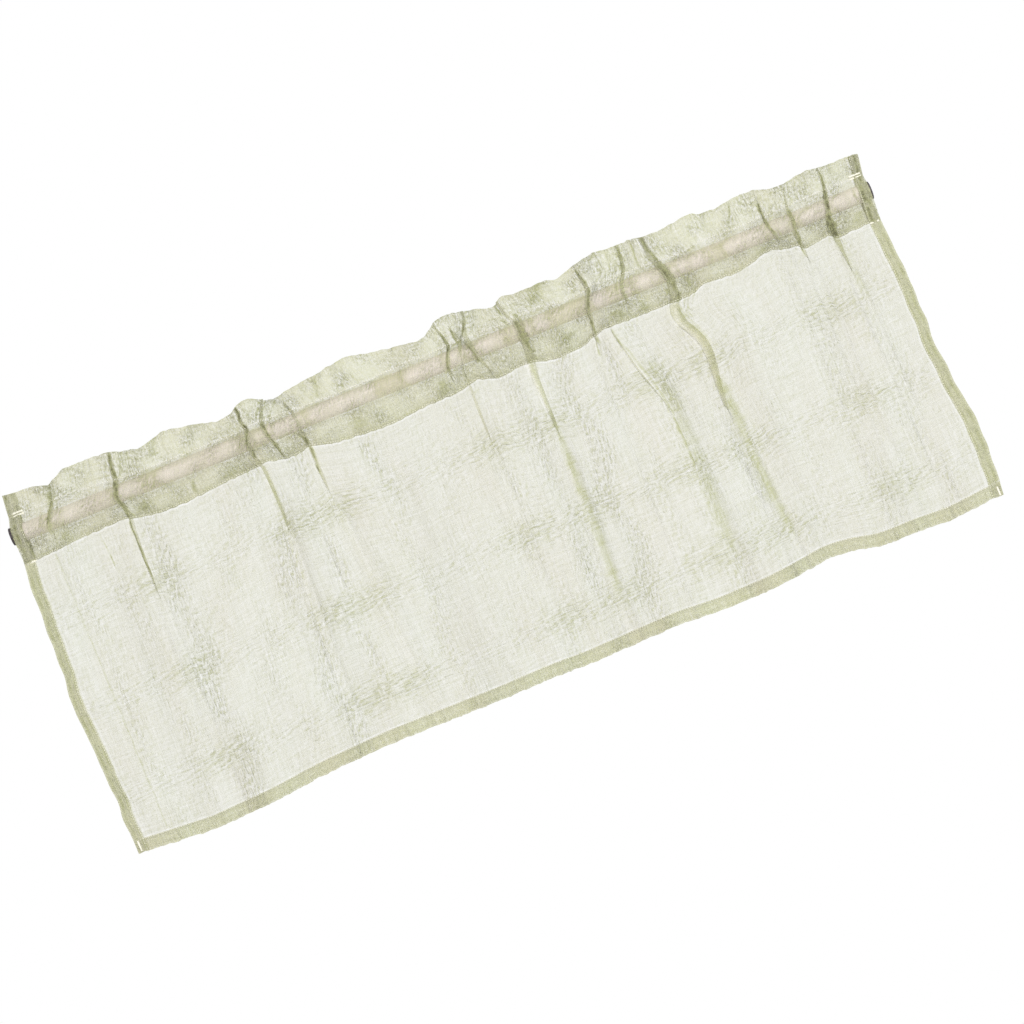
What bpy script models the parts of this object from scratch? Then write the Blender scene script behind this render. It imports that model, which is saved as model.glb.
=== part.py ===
"""A sheer cafe curtain gathered on a plain round rod.

The curtain is one cloth: a ruffled header, a pocket that the rod runs through, the hanging panel and its
turned hems. Millimetres in the tables, metres in the mesh. The rod's axis lies along X through the origin,
the curtain's face looks along -Y and +Z is up.
"""

import math
from collections import Counter, namedtuple

import bmesh
import bpy
from mathutils import Vector

MM = 0.001

# The rod
ROD_DIAMETER = 22.0
ROD_LENGTH = 1100.0
ROD_SIDES = 40
CAP_LENGTH = 4.0
CAP_EDGE = 0.8
JOINT_GAP = 0.3

# The cloth, thick enough for a solid: one layer, the header's two layers, the turned hems
LAYER = 1.5
HEADER_THICKNESS = 3.0
HEM_THICKNESS = 2.6
HEMMED_SHARE = 1.3
SIDE_HEM = 14.0
BOTTOM_HEM = 16.0
HEM_STEP = 1.5

# How the pocket sits on the rod: clearances at the upper slope and at the side, before the puffs, the
# share of a puff that reaches the slope, and the header's seam above the axis, higher where pinched
SLOPE_CLEARANCE = 1.0
SIDE_CLEARANCE = 2.0
SLOPE_PUFF = 0.4
HEADER_SEAM = 14.5
HEADER_SEAM_RISE = 4.5

# How far the hollow of the pocket stops short of its upper and lower seams
UPPER_SEAM_DEPTH = 0.8
LOWER_SEAM_DEPTH = 2.5

# Heights of the levels at which the table gives each fold's place
TOP_LEVEL = 50.0
SEAM_LEVEL = -36.0
UPPER_LEVEL = -110.0
MIDDLE_LEVEL = -230.0
HEM_LEVEL = -400.0

# The cloth crowns forward between two folds, more where they stand further apart
CROWN_SHARE = 0.06
CROWN_LIMIT = 4.5
CROWN_AT_HEM = 0.8
CROWN_ROUNDNESS = 0.8

# A fold's reach to each side in half widths, how much wider it is at the hem, and how much of its depth
# is lost at the height where it fades; the pocket's lower seam is drawn in by a share of it
FOLD_SPREAD = 1.6
FOLD_WIDENING = 1.2
FOLD_FADE = 0.75
SEAM_SHARE = 0.6
COLUMN_SPACING = 19.0

Fold = namedtuple("Fold", "name top seam upper middle hem head crest lift sag tuck run reach width")

# One row for each main fold from left to right, with the two side edges first and last.
#   top, seam, upper, middle, hem: its place along X at those levels
#   head: height of the header's edge on the fold, and crest: how much higher it is before the next one
#   lift: height of the pocket's lower seam on the fold, and sag: how much lower it is before the next one
#   tuck: how far it sinks back in the heading, and run: in the panel, down to the height in reach
#   width: half its width
FOLDS = (
    Fold("left edge", -546, -552, -555, -560, -555, 49, 1, -37, 0, 0, 0, -400, 8),
    Fold("left pinch", -494, -499, -505, -508, -505, 41, 10, -33, 0, 6, 4, -400, 10),
    Fold("left tuck", -407, -416, -417, -413, -410, 50, 0, -32, 4, 8, 7, -260, 9),
    Fold("left ripple", -370, -366, -368, -368, -366, 41, 9, -39, 2, 4, -3, -400, 12),
    Fold("left bay", -274, -315, -312, -308, -300, 38, 8, -36, 1, 3, 3, -400, 14),
    Fold("first knot", -240, -243, -246, -258, -262, 44, 6, -32, 5, 8, 8, -400, 9),
    Fold("knot's mate", -203, -184, -181, -168, -160, 35, 8, -33, 2, 7, 7, -330, 9),
    Fold("long bay", -143, -142, -140, -120, -115, 44, 5, -42, 4, 3, -3, -400, 14),
    Fold("middle pinch", -21, -48, -46, -50, -54, 36, 0, -42, 0, 4, -4, -400, 14),
    Fold("second knot", 8, 19, 12, 10, 8, 45, 6, -34, 7, 8, 7, -330, 9),
    Fold("hooked pleat", 83, 97, 98, 96, 92, 38, 8, -38, 8, 9, 9, -400, 8),
    Fold("right bay", 167, 140, 137, 136, 134, 41, 3, -46, 0, 3, -3, -400, 12),
    Fold("slanting fold", 190, 196, 218, 235, 238, 46, 3, -35, 1, 6, 6, -400, 10),
    Fold("short pinch", 233, 228, 250, 262, 266, 52, 2, -36, 1, 4, -2, -300, 9),
    Fold("deepest pleat", 296, 287, 303, 299, 311, 50, 3, -36, -4, 10, 10, -400, 9),
    Fold("crossed crease", 358, 360, 365, 368, 370, 48, 4, -32, -3, 3, -4, -400, 14),
    Fold("raised seam", 422, 420, 420, 424, 428, 52, 0, -22, 1, 5, 4, -400, 12),
    Fold("stepped pleat", 452, 452, 455, 460, 466, 45, 4, -35, -2, 7, 3, -220, 8),
    Fold("dark pleat", 498, 496, 502, 504, 508, 48, 0, -36, -1, 9, 7, -400, 8),
    Fold("last pinch", 534, 537, 540, 546, 552, 48, 1, -36, 0, 4, -2, -300, 7),
    Fold("right edge", 555, 552, 556, 556, 564, 46, 0, -37, 0, 0, 0, -400, 8),
)

Foot = namedtuple("Foot", "at height")

# The bottom edge, level where the cloth hangs slack and higher where a fold takes it up
FEET = (
    Foot(-555, -408),
    Foot(-458, -415),
    Foot(-378, -411),
    Foot(-315, -404),
    Foot(-220, -399),
    Foot(100, -399),
    Foot(145, -396),
    Foot(260, -399),
    Foot(346, -389),
    Foot(411, -401),
    Foot(500, -402),
    Foot(564, -396),
)

# Share of a fold's tuck that each row of the heading shows, from the header's edge to its seam
HEADER_ROWS = (1.0, 0.55, 0.0)

# The pocket below the rod: height of a row, its half width inside, and the share of a puff it shows
PocketRow = namedtuple("PocketRow", "height reach puff")
POCKET_ROWS = (
    PocketRow(-12.0, 12.2, 0.9),
    PocketRow(-24.0, 7.0, 0.7),
)

# Heights of the panel's rows between the pocket's seam and the bottom hem
PANEL_ROWS = (-58.0, -84.0, -118.0, -164.0, -220.0, -280.0, -336.0)

MATERIALS = {
    "cloth": ((0.62, 0.64, 0.46, 1.0), 0.85, 0.0),
    "tube": ((0.72, 0.62, 0.52, 1.0), 0.35, 0.0),
    "plug": ((0.06, 0.05, 0.06, 1.0), 0.5, 0.0),
}


def ease(t):
    """Goes from 0 to 1 with level ends."""
    t = min(1.0, max(0.0, t))
    return t * t * (3.0 - 2.0 * t)


def along(points, x):
    """Smooth value at x of a list of (x, value) pairs in rising order."""
    for (x0, v0), (x1, v1) in zip(points, points[1:]):
        if x <= x1:
            return v0 + (v1 - v0) * ease((x - x0) / (x1 - x0))
    return points[-1][1]


def fold_path(fold, z):
    """Where a fold runs along X at the height z."""
    levels = (
        (HEM_LEVEL, fold.hem),
        (MIDDLE_LEVEL, fold.middle),
        (UPPER_LEVEL, fold.upper),
        (SEAM_LEVEL, fold.seam),
        (TOP_LEVEL, fold.top),
    )
    return along(levels, z)


def bay(column):
    """The two folds that a column lies between, and how far along it is from one to the next."""
    for left, right in zip(FOLDS, FOLDS[1:]):
        if column <= right.seam:
            return left, right, (column - left.seam) / (right.seam - left.seam)
    return FOLDS[-2], FOLDS[-1], 1.0


def place(column, z):
    """X of a column at the height z: columns lean with the folds beside them."""
    left, right, t = bay(column)
    return fold_path(left, z) * (1.0 - t) + fold_path(right, z) * t


def arch(t):
    """0 on both folds of a bay and 1 midway."""
    return math.sin(math.pi * t) ** CROWN_ROUNDNESS


def crown(column):
    """How far the cloth bulges between its folds."""
    left, right, t = bay(column)
    return min(CROWN_LIMIT, CROWN_SHARE * (right.seam - left.seam)) * arch(t)


def top_edge(column):
    """Height of the header's edge, which rises between folds."""
    left, right, t = bay(column)
    return left.head + (right.head - left.head) * ease(t) + left.crest * arch(t)


def lower_seam(column):
    """Height of the pocket's lower seam, which sags between folds."""
    left, right, t = bay(column)
    return left.lift + (right.lift - left.lift) * ease(t) - left.sag * arch(t)


def notch(column, fold, width):
    """1 on the fold, falling to 0 at its half width."""
    return ease(1.0 - abs(column - fold.seam) / width)


def heading_sink(column):
    """How far the heading sinks back at a column: folds back, crowns forward."""
    sunk = sum(fold.tuck * notch(column, fold, FOLD_SPREAD * fold.width) for fold in FOLDS)
    return sunk - crown(column)


def panel_sink(column, z):
    """The same in the panel, where folds widen and fade on their way down."""
    fall = (SEAM_LEVEL - z) / (SEAM_LEVEL - HEM_LEVEL)
    spread = FOLD_SPREAD + FOLD_WIDENING * fall
    sunk = 0.0
    for fold in FOLDS:
        fade = 1.0 - FOLD_FADE * ease((SEAM_LEVEL - z) / (SEAM_LEVEL - fold.reach))
        sunk += fold.run * fade * notch(column, fold, spread * fold.width)
    return sunk - crown(column) * (1.0 - (1.0 - CROWN_AT_HEM) * ease(fall))


def near_side(column):
    """True within a side hem."""
    return min(column - FOLDS[0].seam, FOLDS[-1].seam - column) < SIDE_HEM


def gather(column):
    """1 where a fold is pinched, 0 midway between folds."""
    return 1.0 - arch(bay(column)[2])


def pocket_corners(column, z_seam, y_seam, layer):
    """Outer and inner corners of the pocket's two walls: on its slopes, at the rod's height and below."""
    radius = ROD_DIAMETER / 2
    puff = crown(column)
    slope = (radius + SLOPE_CLEARANCE + SLOPE_PUFF * puff) * math.sqrt(0.5)
    side = radius + SIDE_CLEARANCE + puff
    step = layer * math.sqrt(0.5)
    rows = [
        ((-slope - step, slope + step), (-slope, slope), (slope, slope), (slope + step, slope + step)),
        ((-side - layer, 0.0), (-side, 0.0), (side, 0.0), (side + layer, 0.0)),
    ]
    for row in POCKET_ROWS:
        z = row.height * z_seam / SEAM_LEVEL
        half = row.reach + row.puff * puff
        middle = y_seam * z / z_seam
        rows.append(tuple((middle + y, z) for y in (-half - layer, -half, half, half + layer)))
    return [corner for row in rows for corner in row]


def section(column):
    """Corners of the cloth cut across its width at one column, from the header's edge down."""
    hemmed = near_side(column)
    layer = LAYER * HEMMED_SHARE if hemmed else LAYER
    double = HEADER_THICKNESS * HEMMED_SHARE if hemmed else HEADER_THICKNESS
    single = HEM_THICKNESS if hemmed else LAYER
    z_top = top_edge(column)
    z_header = HEADER_SEAM + HEADER_SEAM_RISE * gather(column)
    z_seam = lower_seam(column)
    sink = heading_sink(column)
    corners = []
    for row, share in enumerate(HEADER_ROWS):
        z = z_top + (z_header - z_top) * row / (len(HEADER_ROWS) - 1)
        corners += [(share * sink - double / 2, z), (share * sink + double / 2, z)]
    corners.append((0.0, z_header - UPPER_SEAM_DEPTH))
    y_seam = panel_sink(column, z_seam) * SEAM_SHARE
    corners += pocket_corners(column, z_seam, y_seam, layer)
    corners.append((y_seam, z_seam + LOWER_SEAM_DEPTH))
    corners += [(y_seam - layer, z_seam), (y_seam + layer, z_seam)]
    z_foot = along(FEET, column)
    z_hem = z_foot + BOTTOM_HEM
    for row in PANEL_ROWS:
        z = row + (z_seam - SEAM_LEVEL) * (z_hem - row) / (z_hem - SEAM_LEVEL)
        y = panel_sink(column, z)
        corners += [(y - single / 2, z), (y + single / 2, z)]
    y = panel_sink(column, z_foot)
    for z, thick in ((z_hem + HEM_STEP, single), (z_hem, HEM_THICKNESS), (z_foot, HEM_THICKNESS)):
        corners += [(y - thick / 2, z), (y + thick / 2, z)]
    return [Vector((place(column, z), y, z)) * MM for y, z in corners]


def section_cells():
    """Faces of that cut, by corner number: header, pocket walls with their two ends, panel and hem."""
    cells = []
    header = 2 * len(HEADER_ROWS)
    for a in range(0, header - 2, 2):
        cells.append((a, a + 1, a + 3, a + 2))
    inner_top = header
    walls = inner_top + 1
    wall_rows = 2 + len(POCKET_ROWS)
    front, back = header - 2, header - 1
    cells += [(front, back, inner_top), (front, inner_top, walls + 1, walls)]
    cells.append((inner_top, back, walls + 3, walls + 2))
    for a in range(walls, walls + 4 * (wall_rows - 1), 4):
        cells += [(a, a + 1, a + 5, a + 4), (a + 2, a + 3, a + 7, a + 6)]
    last = walls + 4 * (wall_rows - 1)
    inner_bottom = last + 4
    seam = inner_bottom + 1
    cells += [(last, last + 1, inner_bottom, seam), (inner_bottom, last + 2, last + 3, seam + 1)]
    cells.append((seam, inner_bottom, seam + 1))
    panel_rows = 1 + len(PANEL_ROWS) + 3
    for a in range(seam, seam + 2 * (panel_rows - 1), 2):
        cells.append((a, a + 1, a + 3, a + 2))
    return cells


def columns():
    """Where the cloth is cut: on each fold and its flanks, at the hems, and evenly in between."""
    left, right = FOLDS[0].seam, FOLDS[-1].seam
    cuts = {left, right}
    cuts.update((left + SIDE_HEM - HEM_STEP, left + SIDE_HEM, right - SIDE_HEM, right - SIDE_HEM + HEM_STEP))
    inner = FOLDS[1:-1]
    for fold in inner:
        cuts.update((fold.seam - fold.width, fold.seam, fold.seam + fold.width))
    cuts = sorted(c for c in cuts if left <= c <= right)
    filled = []
    for a, b in zip(cuts, cuts[1:]):
        steps = max(1, math.ceil((b - a) / COLUMN_SPACING))
        filled += [a + (b - a) * k / steps for k in range(steps)]
    return filled + [right]


def loft(name, sections, cells):
    """A closed solid through like-numbered sections, with the cells as its two end faces."""
    edges = Counter()
    for cell in cells:
        for a, b in zip(cell, cell[1:] + cell[:1]):
            edges[frozenset((a, b))] += 1
    walls = [tuple(edge) for edge, uses in edges.items() if uses == 1]
    bm = bmesh.new()
    rings = [[bm.verts.new(corner) for corner in ring] for ring in sections]
    for ring in (rings[0], rings[-1]):
        for cell in cells:
            bm.faces.new([ring[i] for i in cell])
    for near, far in zip(rings, rings[1:]):
        for a, b in walls:
            bm.faces.new((near[a], near[b], far[b], far[a]))
    bmesh.ops.recalc_face_normals(bm, faces=bm.faces[:])
    mesh = bpy.data.meshes.new(name)
    bm.to_mesh(mesh)
    bm.free()
    return bpy.data.objects.new(name, mesh)


def cylinder(name, length, x):
    """A round bar along X, centred at x."""
    bpy.ops.mesh.primitive_cylinder_add(
        vertices=ROD_SIDES,
        radius=ROD_DIAMETER / 2 * MM,
        depth=length * MM,
        location=(x * MM, 0.0, 0.0),
        rotation=(0.0, math.pi / 2, 0.0),
    )
    bar = bpy.context.object
    bar.name = name
    bar.data.name = name
    return bar


def material(name):
    """The Principled material of one kind of piece."""
    colour, roughness, metallic = MATERIALS[name]
    made = bpy.data.materials.new(name)
    made.use_nodes = True
    shader = made.node_tree.nodes["Principled BSDF"]
    shader.inputs["Base Color"].default_value = colour
    shader.inputs["Roughness"].default_value = roughness
    shader.inputs["Metallic"].default_value = metallic
    return made


def finish(piece, made, home, angle):
    """Gives a piece its material, its shading and its place in the collection."""
    piece.data.materials.append(made)
    for collection in piece.users_collection:
        collection.objects.unlink(piece)
    home.objects.link(piece)
    piece.data.shade_smooth()
    piece.data.set_sharp_from_angle(angle=math.radians(angle))


def make_curtain(home):
    """The cloth in one piece, lofted from side edge to side edge."""
    curtain = loft("curtain", [section(c) for c in columns()], section_cells())
    finish(curtain, material("cloth"), home, 50)


def make_rod(home):
    """The plain tube, closed here as a solid bar."""
    finish(cylinder("rod", ROD_LENGTH, 0.0), material("tube"), home, 30)


def make_caps(home):
    """A short dark plug on each end of the rod, its outer edge eased."""
    plug = material("plug")
    for name, side in (("rod_cap_left", -1), ("rod_cap_right", 1)):
        x = side * (ROD_LENGTH / 2 + JOINT_GAP + CAP_LENGTH / 2)
        cap = cylinder(name, CAP_LENGTH, x)
        bevel = cap.modifiers.new("eased edge", "BEVEL")
        bevel.width = CAP_EDGE * MM
        bevel.segments = 2
        bevel.limit_method = "ANGLE"
        finish(cap, plug, home, 40)


def main():
    for old in list(bpy.data.objects):
        bpy.data.objects.remove(old, do_unlink=True)
    home = bpy.data.collections.new("cafe_curtain_on_rod")
    bpy.context.scene.collection.children.link(home)
    make_rod(home)
    make_caps(home)
    make_curtain(home)


main()
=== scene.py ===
import math

import bmesh
import bpy
import numpy as np
from mathutils import Matrix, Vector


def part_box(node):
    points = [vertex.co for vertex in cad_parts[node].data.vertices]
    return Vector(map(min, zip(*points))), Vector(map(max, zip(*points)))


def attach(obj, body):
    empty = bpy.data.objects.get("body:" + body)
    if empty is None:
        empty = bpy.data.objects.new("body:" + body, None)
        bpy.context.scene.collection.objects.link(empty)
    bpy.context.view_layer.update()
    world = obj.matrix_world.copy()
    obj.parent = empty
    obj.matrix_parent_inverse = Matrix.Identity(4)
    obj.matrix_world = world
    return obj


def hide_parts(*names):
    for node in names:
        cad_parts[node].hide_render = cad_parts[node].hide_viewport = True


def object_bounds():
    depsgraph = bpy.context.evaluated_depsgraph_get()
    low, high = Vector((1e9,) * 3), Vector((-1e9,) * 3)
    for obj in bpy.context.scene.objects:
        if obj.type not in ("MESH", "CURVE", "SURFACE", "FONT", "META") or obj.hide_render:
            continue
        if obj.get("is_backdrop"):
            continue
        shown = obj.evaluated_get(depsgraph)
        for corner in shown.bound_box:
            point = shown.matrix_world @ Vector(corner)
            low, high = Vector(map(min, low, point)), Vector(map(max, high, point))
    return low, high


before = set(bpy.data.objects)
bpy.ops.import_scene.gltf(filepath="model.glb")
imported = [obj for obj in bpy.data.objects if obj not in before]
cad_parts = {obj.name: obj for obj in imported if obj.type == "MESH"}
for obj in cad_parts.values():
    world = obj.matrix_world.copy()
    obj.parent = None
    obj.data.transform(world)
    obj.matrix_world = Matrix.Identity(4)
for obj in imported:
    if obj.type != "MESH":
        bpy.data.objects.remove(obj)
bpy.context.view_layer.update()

# The rod
# A plain round steel tube with a satin, rose-beige paint. The pocket is threaded on it, so it shows as a
# pale band through two layers of sheer cloth.
MM = 0.001


def linear(code):
    """An sRGB hex colour as linear red, green, blue and alpha."""
    parts = [int(code[i:i + 2], 16) / 255 for i in (1, 3, 5)]
    return [c / 12.92 if c <= 0.04045 else ((c + 0.055) / 1.055) ** 2.4 for c in parts] + [1.0]


def add_node(tree, kind, inputs=None, **settings):
    """Adds a node with its settings, and gives its inputs values or links from other nodes' outputs."""
    node = tree.nodes.new(kind)
    for name, value in settings.items():
        setattr(node, name, value)
    for name, value in (inputs or {}).items():
        if isinstance(value, bpy.types.NodeSocket):
            tree.links.new(value, node.inputs[name])
        else:
            node.inputs[name].default_value = value
    return node


def new_material(name):
    """A material with an empty tree and its output node."""
    made = bpy.data.materials.new(name)
    made.use_nodes = True
    made.node_tree.nodes.clear()
    return made, made.node_tree, made.node_tree.nodes.new("ShaderNodeOutputMaterial")


# Satin stove enamel on drawn steel: even, a little glossy, with a faint orange-peel skin 2 mm across.
rod_paint, tree, output = new_material("satin_enamel_rose_beige")
place = add_node(tree, "ShaderNodeTexCoord").outputs["Object"]
PEEL = 2.0 * MM
peel = add_node(tree, "ShaderNodeTexNoise", {"Vector": place, "Scale": 1 / PEEL, "Detail": 2.0})
haze = add_node(tree, "ShaderNodeTexNoise", {"Vector": place, "Scale": 1 / (60 * MM), "Detail": 3.0})
tone = add_node(
    tree, "ShaderNodeMix", {"Factor": haze.outputs["Fac"], "A": linear("#F2E9E3"), "B": linear("#E8DDD7")},
    data_type="RGBA",
)
gloss = add_node(
    tree, "ShaderNodeMapRange", {"Value": haze.outputs["Fac"], "To Min": 0.5, "To Max": 0.64}
)
skin = add_node(tree, "ShaderNodeBump", {
    "Height": peel.outputs["Fac"], "Strength": 0.15, "Distance": 0.1 * MM,
})
shader = add_node(tree, "ShaderNodeBsdfPrincipled", {
    "Base Color": tone.outputs["Result"], "Roughness": gloss.outputs["Result"],
    "Normal": skin.outputs["Normal"],
})
tree.links.new(shader.outputs["BSDF"], output.inputs["Surface"])
bpy.data.objects["rod"].material_slots[0].material = rod_paint

# The rod's end plugs
# Two short plugs of dark moulded plastic close the tube and show as a sliver beyond the cloth on each side.

# Moulded polypropylene with a fine matt grain, drawn 1.5 mm across where the real one is near 0.5.
plug_plastic, tree, output = new_material("moulded_polypropylene_dark")
place = add_node(tree, "ShaderNodeTexCoord").outputs["Object"]
GRAIN = 1.5 * MM
grain = add_node(tree, "ShaderNodeTexNoise", {"Vector": place, "Scale": 1 / GRAIN, "Detail": 2.0})
tone = add_node(
    tree, "ShaderNodeMix", {"Factor": grain.outputs["Fac"], "A": linear("#3E3638"), "B": linear("#524A4C")},
    data_type="RGBA",
)
gloss = add_node(
    tree, "ShaderNodeMapRange", {"Value": grain.outputs["Fac"], "To Min": 0.45, "To Max": 0.62}
)
skin = add_node(tree, "ShaderNodeBump", {
    "Height": grain.outputs["Fac"], "Strength": 0.15, "Distance": 0.1 * MM,
})
shader = add_node(tree, "ShaderNodeBsdfPrincipled", {
    "Base Color": tone.outputs["Result"], "Roughness": gloss.outputs["Result"],
    "Normal": skin.outputs["Normal"],
})
tree.links.new(shader.outputs["BSDF"], output.inputs["Surface"])
for name in ("rod_cap_left", "rod_cap_right"):
    bpy.data.objects[name].material_slots[0].material = plug_plastic

# The curtain
# One width of sheer slubby voile. It is turned twice down each side and along its foot, and folded to the
# back at the top, where two rows of stitching make a ruffled header and the pocket gathered on the rod.
# All sizes below are in millimetres; x runs along the rod from its middle and z is height above its axis.
rod_low, rod_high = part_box("rod")
ROD_RADIUS = (rod_high[2] - rod_low[2]) / 2 / MM
ON_ROD = 0.9
SIDE_HEM, SIDE_TURN = 14.0, 12.0
FOOT_HEM, FOOT_TURN = 16.0, 14.0
LAYER_GAP = 0.55
HEADER_GAP = 1.3

# Heights of the header's edge along the rod: it dips at each pinch and crests between them.
HEADER_EDGE = (
    (-546, 49.5), (-509, 47), (-488, 41), (-470, 52.5), (-440, 53), (-412, 51.5), (-395, 46.5), (-370, 41),
    (-339, 50.5), (-322, 47), (-299, 43), (-276, 36), (-254, 38.5), (-247, 45.5), (-232, 48.5), (-216, 42),
    (-203, 35.5), (-182, 40), (-152, 43.5), (-116, 49), (-103, 50.5), (-77, 44.5), (-21, 35.5), (-8, 37),
    (9, 49), (24, 52.5), (42, 50), (63, 44.5), (83, 38.5), (95, 49), (110, 44.5), (132, 45.5), (152, 46),
    (167, 41), (175, 45.5), (204, 53), (218, 55), (235, 53), (270, 53), (279, 50), (303, 50), (330, 54),
    (344, 55), (354, 49.5), (375, 49.5), (399, 53.5), (423, 53), (438, 47.5), (455, 45), (479, 50),
    (497, 50), (514, 47.5), (545, 47.5), (556, 46),
)

# Heights of the stitching that parts the header from the pocket: it sits low where the cloth hangs slack.
HEADER_SEAM = (
    (-552, 21.5), (-463, 22.5), (-404, 16), (-327, 14.5), (-254, 14), (-235, 17.5), (-186, 14.5),
        (-134, 13.5),
    (-95, 13.5), (-35, 17), (-16, 15), (14, 17.5), (59, 17.5), (90, 14), (124, 20), (158, 14), (188, 14.5),
    (198, 20), (224, 17.5), (283, 17.5), (311, 14), (341, 19), (402, 18), (482, 20.5), (552, 20.5),
)

# Heights of the stitching under the pocket: scalloped between the pinches.
POCKET_SEAM = (
    (-552, -37), (-513, -35.5), (-481, -32.5), (-421, -30.5), (-412, -34), (-378, -40), (-344, -40),
    (-315, -37.5), (-287, -35), (-243, -32.5), (-236, -30.5), (-216, -36.5), (-194, -36.5), (-185, -32.5),
    (-151, -41), (-100, -45), (-80, -45.5), (-39, -41), (8, -40), (23, -36), (33, -34), (59, -42.5),
    (90, -38.5), (103, -39), (114, -43.5), (134, -47), (167, -45), (183, -39), (198, -35), (226, -36),
    (311, -36.5), (318, -31.5), (327, -29.5), (367, -32.5), (390, -28), (402, -24), (415, -21.5),
    (434, -27.5), (449, -29.5), (456, -36.5), (488, -31.5), (495, -38.5), (537, -36.5), (552, -37.5),
)

# Heights of the foot of the curtain.
FOOT_EDGE = (
    (-552, -408), (-516, -411), (-458, -415.5), (-378, -411), (-315, -404), (-220, -399), (-100, -400.5),
    (-20, -398.5), (40, -400), (100, -398), (145, -396), (200, -400), (260, -399), (305, -395), (346, -389),
    (375, -392), (411, -401), (455, -400), (500, -402.5), (552, -397),
)

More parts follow.
